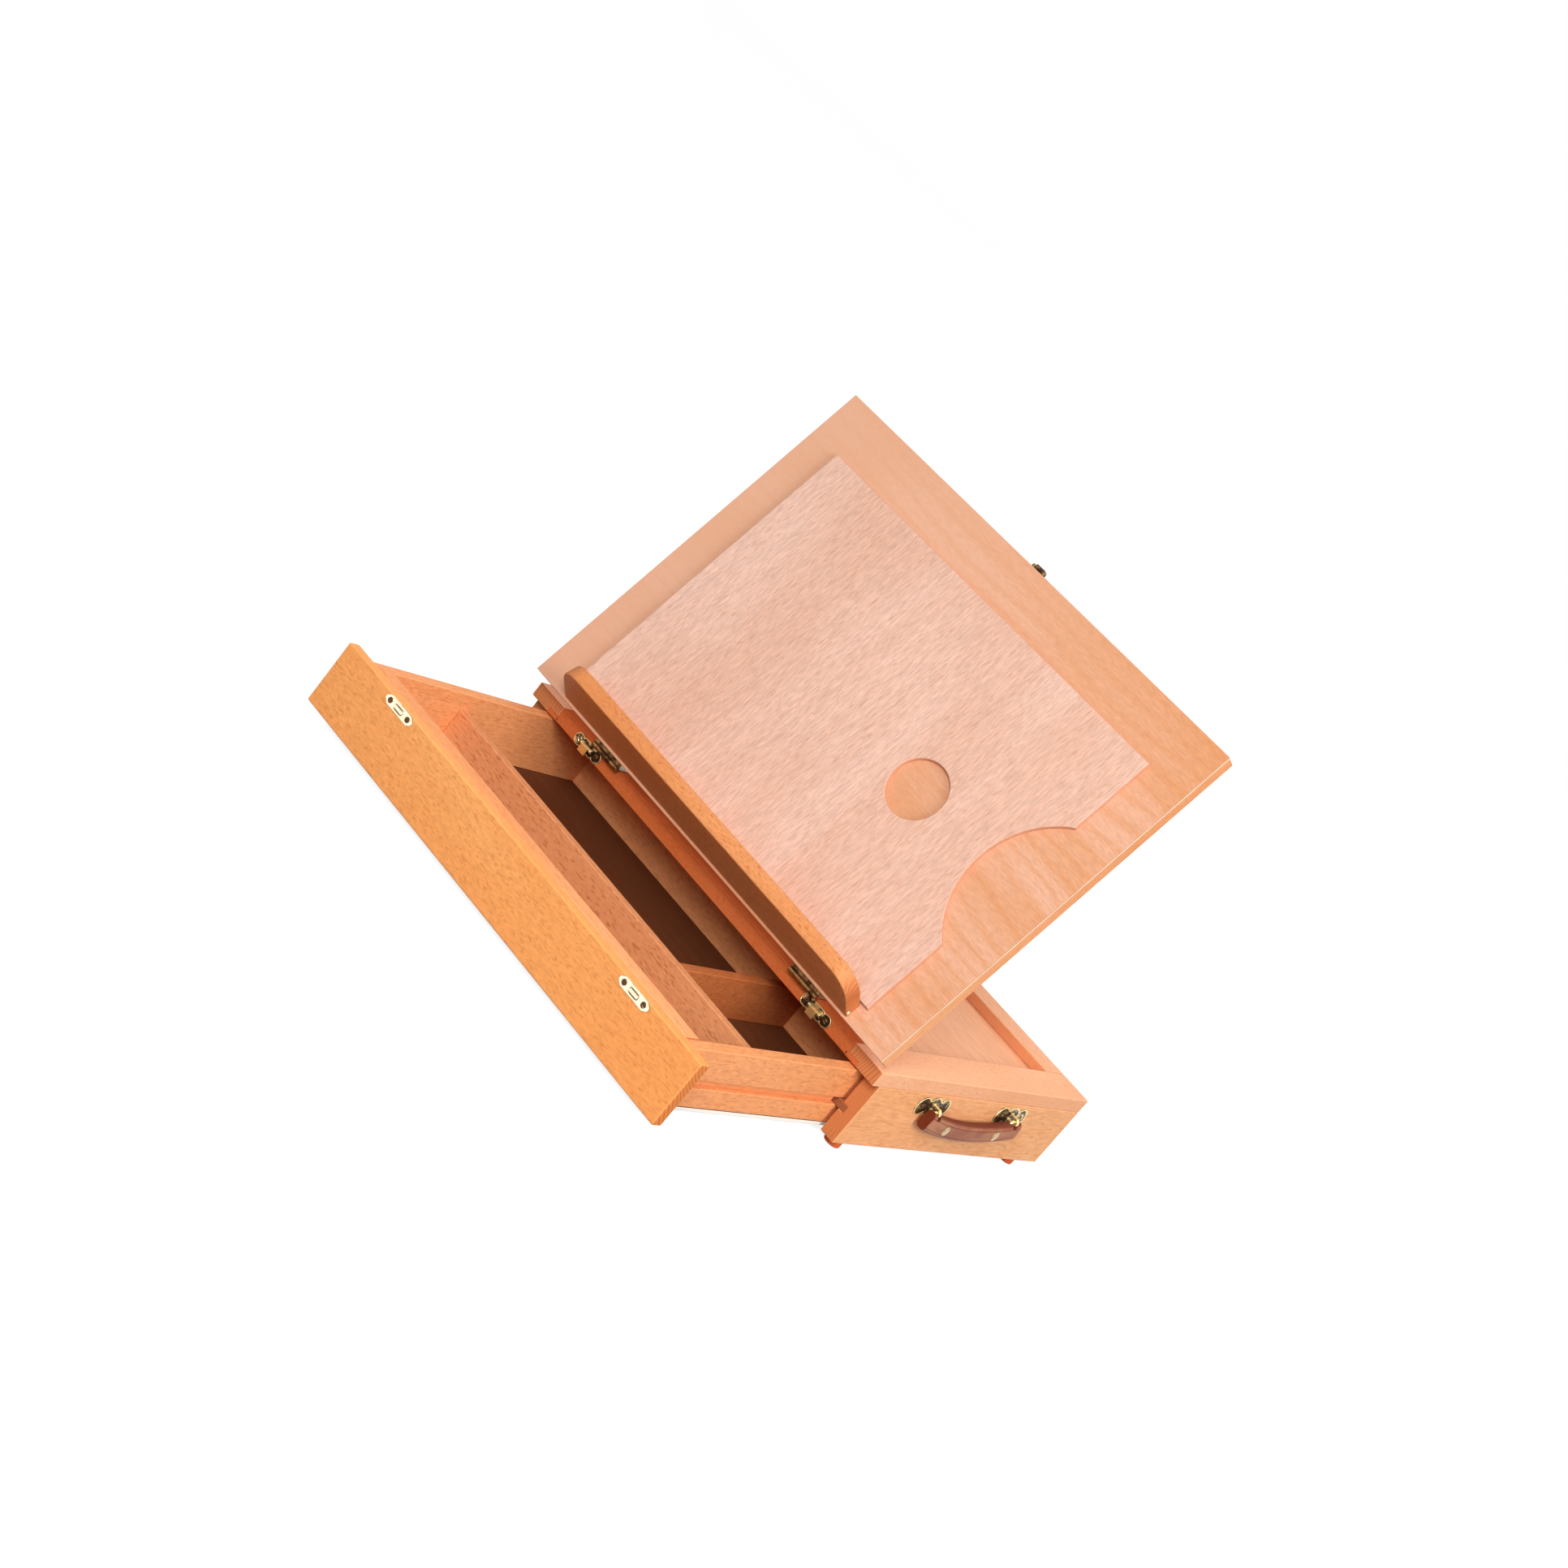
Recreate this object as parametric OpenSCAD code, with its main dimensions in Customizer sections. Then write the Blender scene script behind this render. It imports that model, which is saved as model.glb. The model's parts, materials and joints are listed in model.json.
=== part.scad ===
// Table-top artist's easel: a beech box with a paint drawer, a hinged
// drawing panel with a canvas ledge, a loose palette and a folding prop.
// +X is the side with the carrying handle, -Y is the drawer side, +Z is up.
// The origin is under the middle of the case, on the plane the feet stand on.

/* [Case] */
// Width across the case
case_w = 415; // [380:5:460]
// Depth of the case, front to back
case_d = 308; // [290:2:340]
// Height of the case without its feet
case_h = 64; // [60:1:80]
// Thickness of the two sides
side_t = 13.5; // [12:0.5:16]
// Thickness of the back board
back_t = 10; // [8:0.5:14]
// Diameter of a foot
foot_d = 13; // [9:0.5:13]
// Height of a foot
foot_h = 5; // [3:0.5:8]
// Front feet, from the front of the case to their centres
front_foot_in = 22.5; // [18:0.5:40]
// Rear feet, from the back of the case to their centres
rear_foot_in = 34.5; // [18:0.5:50]

/* [Top frame] */
// Height of the top frame's rails
rail_h = 12; // [11:0.5:14]
// Width of the side rails
side_rail_w = 30; // [26:1:36]
// Width of the front rail
front_rail_w = 26; // [22:1:32]
// Width of the rear rail
rear_rail_w = 28; // [22:1:32]
// Width of the rabbet that holds the deck board
rabbet_w = 11; // [8:0.5:12]
// Thickness of the deck board
deck_t = 3.5; // [3:0.5:5]
// Width of a stop groove in the deck
stop_w = 9; // [7:0.5:10]
// Depth of a stop groove
stop_depth = 1.2; // [0.8:0.1:2]

/* [Drawer] */
// How far the drawer is pulled out
drawer_out = 205; // [0:1:225]
// Thickness of the drawer's front board
lip_t = 10; // [8:0.5:12]
// Thickness of the board behind the front board
inner_front_t = 14.5; // [8:0.5:16]
// Thickness of the drawer's sides
drawer_side_t = 9.3; // [8:0.1:11]
// Length of the drawer, front face to back face
drawer_len = 288.5; // [270:0.5:289]
// Thickness of the drawer's back board
drawer_back_t = 9.5; // [7:0.5:12]
// Thickness of the drawer's bottom panel
bottom_t = 3; // [2.5:0.5:4]
// Gap above and below the drawer front
drawer_gap = 0.4; // [0.2:0.1:1]
// Gap between a drawer side and a case side
side_gap = 3.4; // [2:0.1:4.5]
// How far the sides stop below the top of the drawer front
side_drop = 1; // [0:0.5:3]
// Width of a runner, across the drawer
runner_w = 12.4; // [10:0.2:13]
// Height of a runner
runner_h = 5.5; // [4:0.5:8]
// How deep a runner is let into the case side
runner_let = 5; // [3:0.5:6]
// Underside of the runner above the bottom of the case
runner_up = 20; // [14:0.5:26]
// Clearance round a runner in the drawer's groove
runner_gap = 0.5; // [0.3:0.1:0.8]
// Front tray, from the inner front board to the long divider
tray_d = 86; // [60:1:120]
// Thickness of the two dividers
divider_t = 8; // [6:0.5:10]
// Height of the dividers above the drawer's bottom panel
divider_h = 34; // [20:1:38]
// Middle of the cross divider, from the middle of the drawer
cross_x = 86; // [-120:1:120]

/* [Panel] */
// Tilt of the panel, 0 is shut flat on the case
panel_tilt = 70; // [0:1:80]
// Thickness of the panel's face board
face_t = 4; // [3:0.5:6]
// Thickness of the frame behind the face board
frame_t = 10; // [9.8:0.2:14]
// Width of the frame's pieces
frame_w = 30; // [24:1:36]
// Length of the canvas ledge
ledge_w = 340; // [300:5:370]
// How far the ledge sits off the middle
ledge_shift = -3; // [-8:1:8]
// Depth of the ledge from the panel's face, along its underside
ledge_d = 37; // [25:1:45]
// Thickness of the ledge
ledge_t = 12; // [8:0.5:15]
// Angle between the ledge and the panel's face
ledge_angle = 70; // [60:1:90]
// Underside of the ledge, from the panel's lower edge
ledge_s = 2; // [0:0.5:8]
// Radius of the ledge's outer corners
ledge_r = 18; // [6:1:24]
// Radius of the pin heads in the ledge's ends
ledge_pin_r = 1.5; // [1:0.1:2]
// How far the pin heads stand out
ledge_pin_h = 0.8; // [0.5:0.1:1.5]

/* [Palette] */
// Length of the palette
palette_w = 350; // [300:5:350]
// Width of the palette
palette_d = 250; // [200:5:250]
// Thickness of the palette
palette_t = 4; // [3:0.5:5]
// How far the palette sits off the middle
palette_shift = -1; // [-5:1:5]
// Gap between the palette and the ledge
palette_gap = 0.1; // [0.1:0.1:1]
// Diameter of the thumb hole
thumb_d = 46; // [30:1:60]
// Thumb hole's centre from the palette's right edge
thumb_in = 100; // [70:1:140]
// Radius of the scoop in the right edge
scoop_r = 71.6; // [50:0.2:72]
// Scoop's centre outside the right edge
scoop_out = 40.7; // [30:0.1:45]

/* [Hinges] */
// Middle of a hinge from the nearer side of the case
hinge_in = 87.5; // [72.5:0.5:145]
// Length of a hinge
hinge_len = 30; // [24:1:36]
// Hinge axis in front of the case
hinge_out = 4.4; // [3.5:0.1:6]
// Hinge axis above the case
hinge_up = 0.8; // [0.8:0.1:1.5]
// Radius of a knuckle
knuckle_r = 2.2; // [1.8:0.1:2.6]
// Radius of a hinge pin
pin_r = 1; // [0.6:0.1:1.3]
// Thickness of a hinge leaf
leaf_t = 0.75; // [0.5:0.05:0.75]
// How far a leaf reaches in from the edge
leaf_in = 9; // [6:0.5:14]

/* [Clasps] */
// Middle of a clasp from the nearer side of the case
clasp_in = 68.5; // [57.5:0.5:145]
// Length of a clasp plate
clasp_w = 31; // [28:1:36]
// Height of a clasp plate
clasp_h = 9.5; // [8:0.5:10.5]
// Thickness of the clasp and keeper plates
plate_t = 0.8; // [0.5:0.1:1]
// Distance between a plate's two screws
screw_pitch = 21; // [18:0.5:22]
// Radius of a screw head
screw_r = 2.2; // [1.6:0.1:2.4]
// Height of a screw head
screw_head_h = 0.9; // [0.6:0.1:1.2]
// Hook axis in front of the wood
pivot_out = 2.4; // [2.2:0.1:3]
// Hook axis above the middle of the clasp plate
pivot_up = 0.5; // [0:0.1:1]
// Radius of the hook's barrel
barrel_r = 1.6; // [1.3:0.1:1.8]
// Radius of the hook's axle
axle_r = 0.8; // [0.5:0.1:0.9]
// Width of the hook
hook_w = 7.6; // [6:0.2:9]
// How far the hook stands out from its axis
hook_reach = 2.8; // [2.6:0.1:4]
// How far the hook hangs below its axis
hook_drop = 5.7; // [4:0.1:5.7]
// Height of a keeper plate
keeper_h = 7.5; // [6:0.5:9]
// Radius of the keeper's raised bead
bead_r = 1.4; // [1:0.1:1.8]
// Length of the bead
bead_w = 9; // [6:0.5:12]
// Clasp and keeper plates, from the edge of their board
plate_margin = 0.4; // [0.2:0.1:1]

/* [Handle] */
// Distance between the handle's two brackets
handle_span = 116; // [90:1:150]
// Height of the brackets' middle above the bottom of the case
handle_up = 41; // [38:0.5:42]
// Length of a bracket plate
bracket_w = 44; // [40:1:46]
// Height of a bracket plate
bracket_h = 17.5; // [14:0.5:18.5]
// Width of a bracket's rounded ends
bracket_lobe = 16; // [12:0.5:17.5]
// Handle axis out from the case side
handle_out = 6.2; // [5.8:0.1:7]
// Radius of the ring's wire
ring_r = 1.2; // [0.8:0.1:1.3]
// Length of a ring, along the handle
ring_w = 10; // [8:0.5:12]
// Height of a ring
ring_h = 8; // [6:0.5:10]
// Radius of the staple's wire
staple_r = 1; // [0.8:0.1:1.3]
// Length of the strap
strap_w = 132; // [110:1:160]
// Height of the strap
strap_h = 15.5; // [14:0.5:16]
// Thickness of the strap
strap_t = 8.6; // [4:0.1:9]
// Radius of the strap's curve
strap_curve = 300; // [280:5:400]
// Strap's middle below the handle axis
strap_drop = 14; // [14:0.5:20]
// Distance between the strap's two rivets
rivet_pitch = 73; // [60:1:90]
// Radius of a rivet head
rivet_r = 4.2; // [2.5:0.1:4.5]
// Height of a rivet head
rivet_h = 0.8; // [0.5:0.1:1.2]

/* [Prop] */
// Length of the prop, pivot to foot
prop_len = 130; // [110:1:130]
// Prop pivot above the hinge axis when shut
prop_rise = 4.4; // [4:0.1:4.5]
// Distance between the middles of the prop's legs
prop_w = 200; // [120:2:280]
// Width of a prop leg
leg_w = 14; // [10:0.5:18]
// Thickness of a prop leg
leg_t = 9; // [7:0.5:9]
// How far the foot bar sits past the foot point
foot_ext = 4.6; // [2:0.1:4.6]
// Crossbar, from the pivot
crossbar_at = 70; // [40:1:90]
// Radius of the crossbar
crossbar_r = 4; // [3:0.5:4]
// Radius of a prop pin
prop_pin_r = 2; // [1.5:0.1:2.5]
// Width of a prop block
block_w = 12; // [8:0.5:16]
// Length of a prop block, along the panel
block_d = 20; // [14:1:30]
// Height of a prop block
block_h = 9.5; // [8:0.1:9.8]
// Gap between a leg and its block
block_gap = 0.5; // [0.3:0.1:1]

/* [Hidden] */
$fn = 48;

// Clearances and small allowances
cut = 1;            // how far a cutting shape runs past a face
run_gap = 0.05;     // between a pin and the hole it turns in
knuckle_gap = 0.2;  // between neighbouring knuckles
leaf_gap = 0.05;    // from a leaf to the plane of the hinge axis
mortise_gap = 0.5;  // round a leaf in its mortise
ring_slot_gap = 1;  // round a ring in the strap's slot
foot_bevel = 1;     // bevel on a foot's lower edge
shank_r = 1.3;      // shank of a small screw
ear_w = 2.4;        // width of a clasp's ear
hook_gap = 0.25;    // between the hook and an ear
shoulder = 0.5;     // plate outside each ear
ring_play = 0.1;    // round a ring's wire in its staple
staple_gap = 0.9;   // round a staple in the strap's notch
waist = 0.6;        // waist of a clasp or bracket plate, as a share of its height

// Heights
case_top = foot_h + case_h;
rail_z = case_top - rail_h;
deck_z = rail_z + deck_t;
front_z = foot_h + drawer_gap;
front_top = rail_z - drawer_gap;
floor_z = front_z + drawer_gap;
floor_top = floor_z + bottom_t;
drawer_side_top = front_top - side_drop;
runner_z = foot_h + runner_up;
frame_top = case_top + frame_t;
face_top = frame_top + face_t;

// Depths, from the middle of the case
case_front = -case_d / 2;
case_rear = case_d / 2;
back_in = case_rear - back_t;
recess_front = case_front + front_rail_w;
recess_rear = case_rear - rear_rail_w;
drawer_front_y = case_front - drawer_out;
lip_rear = drawer_front_y + lip_t;
inner_front_rear = lip_rear + inner_front_t;
drawer_rear = drawer_front_y + drawer_len;
drawer_back_in = drawer_rear - drawer_back_t;
divider_y = inner_front_rear + tray_d;

// Half widths
half_w = case_w / 2;
side_in = half_w - side_t;
recess_half = half_w - side_rail_w;
rabbet_half = recess_half + rabbet_w;
drawer_half = side_in - side_gap;
drawer_in = drawer_half - drawer_side_t;
runner_out = side_in + runner_let;
runner_in = runner_out - runner_w;
hinge_x = half_w - hinge_in;
clasp_x = half_w - clasp_in;

// Panel hinge and prop
hinge_y = case_front - hinge_out;
hinge_z = case_top + hinge_up;
prop_angle = asin(prop_rise / prop_len);
prop_y = hinge_y + prop_len * cos(prop_angle);
prop_z = hinge_z + prop_rise;
leg_x = prop_w / 2;
foot_bar_y = prop_len + foot_ext;
stop_tilts = [50, 60, panel_tilt];

// Ledge and palette, in the shut panel's coordinates
ledge_y = case_front + ledge_s;
ledge_slope = 90 - ledge_angle;
ledge_top = ledge_t / cos(ledge_slope) + palette_t * tan(ledge_slope);
palette_y = ledge_y + ledge_top + palette_gap;

// Clasps and handle
clasp_z = rail_z + plate_margin + clasp_h / 2;
catch_z = case_top + plate_margin + clasp_h / 2;
keeper_drop = plate_margin + keeper_h / 2;
ear_x = hook_w / 2 + hook_gap + ear_w / 2;
handle_x = half_w + handle_out;
handle_z = foot_h + handle_up;
bracket_pitch = bracket_w - bracket_lobe;
staple_ring_r = ring_r + ring_play + staple_r;

// Hinge knuckles, and the inner face of a prop block
knuckle_len = (hinge_len - 2 * knuckle_gap) / 3;
outer_knuckle_x = knuckle_len + knuckle_gap;
block_in = leg_x + leg_w / 2 + block_gap;

beech = [0.91, 0.62, 0.40];
beech_dark = [0.78, 0.48, 0.30];
ply = [0.92, 0.68, 0.50];
pale_ply = [0.90, 0.75, 0.66];
brass = [0.78, 0.66, 0.38];
leather = [0.47, 0.22, 0.16];
cork = [0.72, 0.36, 0.22];

// ---- Helpers ----

// A box from its lowest corner to its highest corner
module box(low, high) {
    translate(low) cube(high - low);
}

// A box that is the same on both sides of the middle plane
module wide_box(half, y0, y1, z0, z1) {
    box([-half, y0, z0], [half, y1, z1]);
}

// Children are drawn for the right-hand side; flip moves them to the left
module sided(flip) {
    mirror([flip ? 1 : 0, 0, 0]) children();
}

// A rod along X, centred on the origin
module rod_x(r, len) {
    rotate([0, 90, 0]) cylinder(r = r, h = len, center = true);
}

// Children are drawn with the panel shut; this swings them up to panel_tilt
module opened() {
    translate([0, hinge_y, hinge_z])
        rotate([panel_tilt, 0, 0])
            translate([0, -hinge_y, -hinge_z]) children();
}

// Children are drawn with the prop's pivot at the origin and its leg along +Y
module prop_place() {
    opened() translate([0, prop_y, prop_z])
        rotate([-2 * panel_tilt - prop_angle, 0, 0]) children();
}

// ---- Case ----

module case_side(flip) {
    sided(flip) difference() {
        box([side_in, case_front + lip_t, foot_h], [half_w, case_rear, rail_z]);
        box([side_in - cut, case_front + lip_t - cut, runner_z],
            [runner_out, back_in, runner_z + runner_h]);
    }
}
module case_side_left() color(beech) case_side(true);
module case_side_right() color(beech) case_side(false);

module case_back() color(beech) wide_box(side_in, back_in, case_rear, foot_h, rail_z);

module runner(flip) {
    sided(flip) box([runner_in, case_front + lip_t, runner_z],
                    [runner_out, back_in, runner_z + runner_h]);
}
module runner_left() color(beech_dark) runner(true);
module runner_right() color(beech_dark) runner(false);

module foot() {
    r = foot_d / 2;
    rotate_extrude() polygon([[0, 0], [r - foot_bevel, 0], [r, foot_bevel], [r, foot_h], [0, foot_h]]);
}
module feet() color(cork) {
    for (side = [-1, 1], y = [case_front + front_foot_in, case_rear - rear_foot_in])
        translate([side * (half_w - side_t / 2), y, 0]) foot();
}

module top_rail_side(flip) {
    sided(flip) difference() {
        box([recess_half, case_front, rail_z], [half_w, case_rear, case_top]);
        box([recess_half - cut, case_front - cut, rail_z - cut],
            [rabbet_half, case_rear + cut, deck_z]);
    }
}
module top_rail_left() color(beech) top_rail_side(true);
module top_rail_right() color(beech) top_rail_side(false);

module top_rail_front() color(beech) {
    wide_box(recess_half, case_front, recess_front, deck_z, case_top);
    wide_box(rabbet_half, case_front, recess_front - rabbet_w, rail_z, deck_z);
}
module top_rail_rear() color(beech) {
    wide_box(recess_half, recess_rear, case_rear, deck_z, case_top);
    wide_box(rabbet_half, recess_rear + rabbet_w, case_rear, rail_z, deck_z);
}

// Where the foot bar stands on the deck at a given tilt
function foot_bar_at(tilt) =
    hinge_y + 2 * prop_len * cos(tilt + prop_angle) + foot_ext * cos(tilt + prop_angle);

module deck_board() color(ply) difference() {
    wide_box(rabbet_half, recess_front - rabbet_w, recess_rear + rabbet_w, rail_z, deck_z);
    for (tilt = stop_tilts)
        translate([0, foot_bar_at(tilt), deck_z])
            cube([prop_w + leg_w, stop_w, 2 * stop_depth], center = true);
}

// ---- Clasps: plate, hook and keeper, drawn on a wall that faces -Y ----

module clasp_outline() {
    lobe_d = clasp_w - screw_pitch;
    square([screw_pitch, clasp_h * waist], center = true);
    square([2 * (ear_x + ear_w / 2 + shoulder), clasp_h], center = true);
    for (side = [-1, 1]) translate([side * screw_pitch / 2, 0]) {
        intersection() {
            circle(d = lobe_d);
            square([lobe_d, clasp_h], center = true);
        }
    }
}

module keeper_outline() {
    end = clasp_w / 2;
    high = keeper_h / 2;
    polygon([
        [-end, -high / 3], [-end, high / 3], [-end + high, high], [end - high, high],
        [end, high / 3], [end, -high / 3], [end - high, -high], [-end + high, -high]
    ]);
}

// A plate with two screw holes, cut from the outline given as its child
module screw_plate(pitch) {
    rotate([90, 0, 0]) linear_extrude(plate_t) difference() {
        children();
        for (side = [-1, 1]) translate([side * pitch / 2, 0]) circle(r = shank_r);
    }
}

// A pair of domed screws standing on the wall through a plate
module screw_pair(pitch) {
    dome = (screw_r * screw_r + screw_head_h * screw_head_h) / (2 * screw_head_h);
    for (side = [-1, 1]) translate([side * pitch / 2, 0, 0]) rotate([90, 0, 0]) {
        cylinder(r = shank_r, h = plate_t);
        translate([0, 0, plate_t]) intersection() {
            translate([0, 0, screw_head_h - dome]) sphere(r = dome);
            cylinder(r = screw_r, h = screw_head_h);
        }
    }
}

module clasp_base() {
    screw_plate(screw_pitch) clasp_outline();
    for (side = [-1, 1]) translate([side * ear_x, -pivot_out, pivot_up]) difference() {
        union() {
            rod_x(barrel_r, ear_w);
            box([-ear_w / 2, 0, -barrel_r], [ear_w / 2, pivot_out - plate_t, barrel_r]);
        }
        rod_x(axle_r + run_gap, ear_w + 2 * cut);
    }
}

module clasp_hook() {
    translate([0, -pivot_out, pivot_up]) {
        rod_x(axle_r, hook_w + 2 * hook_gap + 2 * ear_w);
        rod_x(barrel_r, hook_w);
        box([-hook_w / 2, -hook_reach, barrel_r - plate_t], [hook_w / 2, 0, barrel_r]);
        box([-hook_w / 2, -hook_reach, -hook_drop], [hook_w / 2, plate_t - hook_reach, barrel_r]);
    }
}

// The bead is a rod whose back is cut away at the wall
module keeper() {
    difference() {
        union() {
            screw_plate(screw_pitch) keeper_outline();
            translate([0, -plate_t, 0]) rod_x(bead_r, bead_w);
        }
        box([-clasp_w, 0, -clasp_w], [clasp_w, clasp_w, clasp_w]);
    }
}

module at_clasp(side) {
    translate([side * clasp_x, case_front, clasp_z]) children();
}
module at_keeper(side) {
    translate([side * clasp_x, drawer_front_y, front_top - keeper_drop]) children();
}
module at_catch() {
    opened() translate([0, case_rear, catch_z]) rotate([0, 0, 180]) children();
}
module at_catch_keeper() {
    translate([0, case_rear, case_top - keeper_drop]) rotate([0, 0, 180]) children();
}

module clasp_base_left() color(brass) at_clasp(-1) clasp_base();
module clasp_base_right() color(brass) at_clasp(1) clasp_base();
module clasp_hook_left() color(brass) at_clasp(-1) clasp_hook();
module clasp_hook_right() color(brass) at_clasp(1) clasp_hook();
module keeper_left() color(brass) at_keeper(-1) keeper();
module keeper_right() color(brass) at_keeper(1) keeper();
module keeper_screws() color(brass) {
    for (side = [-1, 1]) at_keeper(side) screw_pair(screw_pitch);
}
module catch_base() color(brass) at_catch() clasp_base();
module catch_hook() color(brass) at_catch() clasp_hook();
module catch_keeper() color(brass) at_catch_keeper() keeper();
module panel_screws() color(brass) at_catch() screw_pair(screw_pitch);

// ---- Hinges, drawn at the hinge axis with the panel shut ----

// A leaf: up is 1 for the panel's leaf, -1 for the case's leaf
module hinge_leaf(up, knuckles, bore_r) {
    low = up > 0 ? leaf_gap : -leaf_gap - leaf_t;
    leaf_y = knuckle_r + leaf_gap;
    box([-hinge_len / 2, leaf_y, low], [hinge_len / 2, hinge_out + leaf_in, low + leaf_t]);
    for (x = knuckles) translate([x, 0, 0]) rotate([90, 0, 90])
        linear_extrude(knuckle_len, center = true) difference() {
            union() {
                circle(r = knuckle_r);
                translate([0, low]) square([leaf_y, leaf_t]);
            }
            circle(r = bore_r);
        }
}
module at_hinge(side) {
    translate([side * hinge_x, hinge_y, hinge_z]) children();
}
module case_leaf(side) {
    at_hinge(side) hinge_leaf(-1, [-outer_knuckle_x, outer_knuckle_x], pin_r);
}
module panel_leaf(side) {
    opened() at_hinge(side) hinge_leaf(1, [0], pin_r + run_gap);
}
module case_leaf_left() color(brass) case_leaf(-1);
module case_leaf_right() color(brass) case_leaf(1);
module panel_leaf_left() color(brass) panel_leaf(-1);
module panel_leaf_right() color(brass) panel_leaf(1);
module hinge_pin_left() color(brass) at_hinge(-1) rod_x(pin_r, hinge_len);
module hinge_pin_right() color(brass) at_hinge(1) rod_x(pin_r, hinge_len);

// ---- Handle, on the right-hand side of the case ----

// Children are drawn on a wall that faces -Y; this turns them to face +X
module at_bracket(side) {
    translate([half_w, side * handle_span / 2, handle_z]) rotate([0, 0, 90]) children();
}

module bracket_outline() {
    square([bracket_pitch, bracket_h * waist], center = true);
    circle(d = bracket_h);
    for (side = [-1, 1]) translate([side * bracket_pitch / 2, 0]) circle(d = bracket_lobe);
}

// A half ring of wire with straight legs down to the plate
module staple() {
    translate([0, -handle_out, 0]) rotate([0, 90, 0]) {
        rotate([0, 0, 180]) rotate_extrude(angle = 180)
            translate([staple_ring_r, 0]) circle(r = staple_r);
        for (side = [-1, 1]) translate([side * staple_ring_r, 0, 0])
            rotate([-90, 0, 0]) cylinder(r = staple_r, h = handle_out - plate_t);
    }
}
module bracket(side) {
    at_bracket(side) {
        screw_plate(bracket_pitch) bracket_outline();
        staple();
    }
}
module bracket_front() color(brass) bracket(-1);
module bracket_rear() color(brass) bracket(1);

module case_screws() color(brass) {
    for (side = [-1, 1]) {
        at_clasp(side) screw_pair(screw_pitch);
        at_bracket(side) screw_pair(bracket_pitch);
    }
    at_catch_keeper() screw_pair(screw_pitch);
}

// A loop of wire in the YZ plane that hangs from the handle axis
module handle_ring(side) {
    translate([handle_x, side * handle_span / 2, handle_z]) {
        for (z = [0, -ring_h]) translate([0, 0, z])
            rotate([90, 0, 0]) cylinder(r = ring_r, h = ring_w, center = true);
        for (y = [-ring_w / 2, ring_w / 2]) translate([0, y, -ring_h]) {
            cylinder(r = ring_r, h = ring_h);
            sphere(r = ring_r);
            translate([0, 0, ring_h]) sphere(r = ring_r);
        }
    }
}
module handle_ring_front() color(brass) handle_ring(-1);
module handle_ring_rear() color(brass) handle_ring(1);

module strap_outline() {
    intersection() {
        translate([0, strap_curve]) difference() {
            circle(r = strap_curve + strap_h / 2, $fn = 240);
            circle(r = strap_curve - strap_h / 2, $fn = 240);
        }
        translate([-strap_w / 2, -strap_h]) square([strap_w, 3 * strap_h]);
    }
}

module handle_strap() color(leather) {
    slot = [ring_r + ring_play, ring_w / 2 + ring_r + ring_slot_gap];
    notch = staple_r + staple_gap;
    difference() {
        translate([handle_x - strap_t / 2, 0, handle_z - strap_drop])
            rotate([90, 0, 90]) linear_extrude(strap_t) strap_outline();
        for (side = [-1, 1]) translate([handle_x, side * handle_span / 2, handle_z]) {
            box([-slot.x, -slot.y, -ring_h - ring_r], [slot.x, slot.y, strap_h]);
            box([-strap_t, -notch, -staple_ring_r - notch], [strap_t, notch, strap_h]);
        }
    }
}

// A rivet head sits on both faces of the strap
module handle_rivets() color(brass) {
    rise = rivet_pitch * rivet_pitch / 8 / strap_curve;
    for (side = [-1, 1], face = [0, 1])
        translate([handle_x, side * rivet_pitch / 2, handle_z - strap_drop + rise])
            mirror([face, 0, 0]) translate([strap_t / 2, 0, 0])
                rotate([0, 90, 0]) cylinder(r = rivet_r, h = rivet_h);
}

// ---- Drawer ----

module drawer_front() color(beech)
    wide_box(half_w, drawer_front_y, lip_rear, front_z, front_top);

module drawer_inner_front() color(beech)
    wide_box(drawer_in, lip_rear, inner_front_rear, floor_top, front_top);

module drawer_side(flip) {
    sided(flip) difference() {
        box([drawer_in, lip_rear, floor_top], [drawer_half, drawer_rear, drawer_side_top]);
        box([runner_in - runner_gap, lip_rear - cut, runner_z - runner_gap],
            [drawer_half + cut, drawer_rear + cut, runner_z + runner_h + runner_gap]);
    }
}
module drawer_side_left() color(beech) drawer_side(true);
module drawer_side_right() color(beech) drawer_side(false);

module drawer_back() color(beech)
    wide_box(drawer_in, drawer_back_in, drawer_rear, floor_top, drawer_side_top);

module drawer_bottom() color(pale_ply)
    wide_box(drawer_half, lip_rear, drawer_rear, floor_z, floor_top);

module long_divider() color(beech)
    wide_box(drawer_in, divider_y, divider_y + divider_t, floor_top, floor_top + divider_h);

module cross_divider() color(beech)
    box([cross_x - divider_t / 2, divider_y + divider_t, floor_top],
        [cross_x + divider_t / 2, drawer_back_in, floor_top + divider_h]);

// ---- Panel, drawn shut ----

module panel_board() color(ply) opened()
    wide_box(half_w, case_front, case_rear, frame_top, face_top);

module panel_frame_side(flip) {
    opened() sided(flip)
        box([half_w - frame_w, case_front, case_top], [half_w, case_rear, frame_top]);
}
module panel_frame_left() color(beech) panel_frame_side(true);
module panel_frame_right() color(beech) panel_frame_side(false);

// The lower frame piece has a mortise for each shut hinge
module panel_frame_bottom() color(beech) opened() difference() {
    wide_box(half_w - frame_w, case_front, case_front + frame_w, case_top, frame_top);
    for (side = [-1, 1]) at_hinge(side)
        box([-hinge_len / 2 - mortise_gap, 0, -hinge_up - cut],
            [hinge_len / 2 + mortise_gap, hinge_out + leaf_in + mortise_gap, leaf_gap + leaf_t]);
}
module panel_frame_top() color(beech) opened()
    wide_box(half_w - frame_w, case_rear - frame_w, case_rear, case_top, frame_top);

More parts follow.
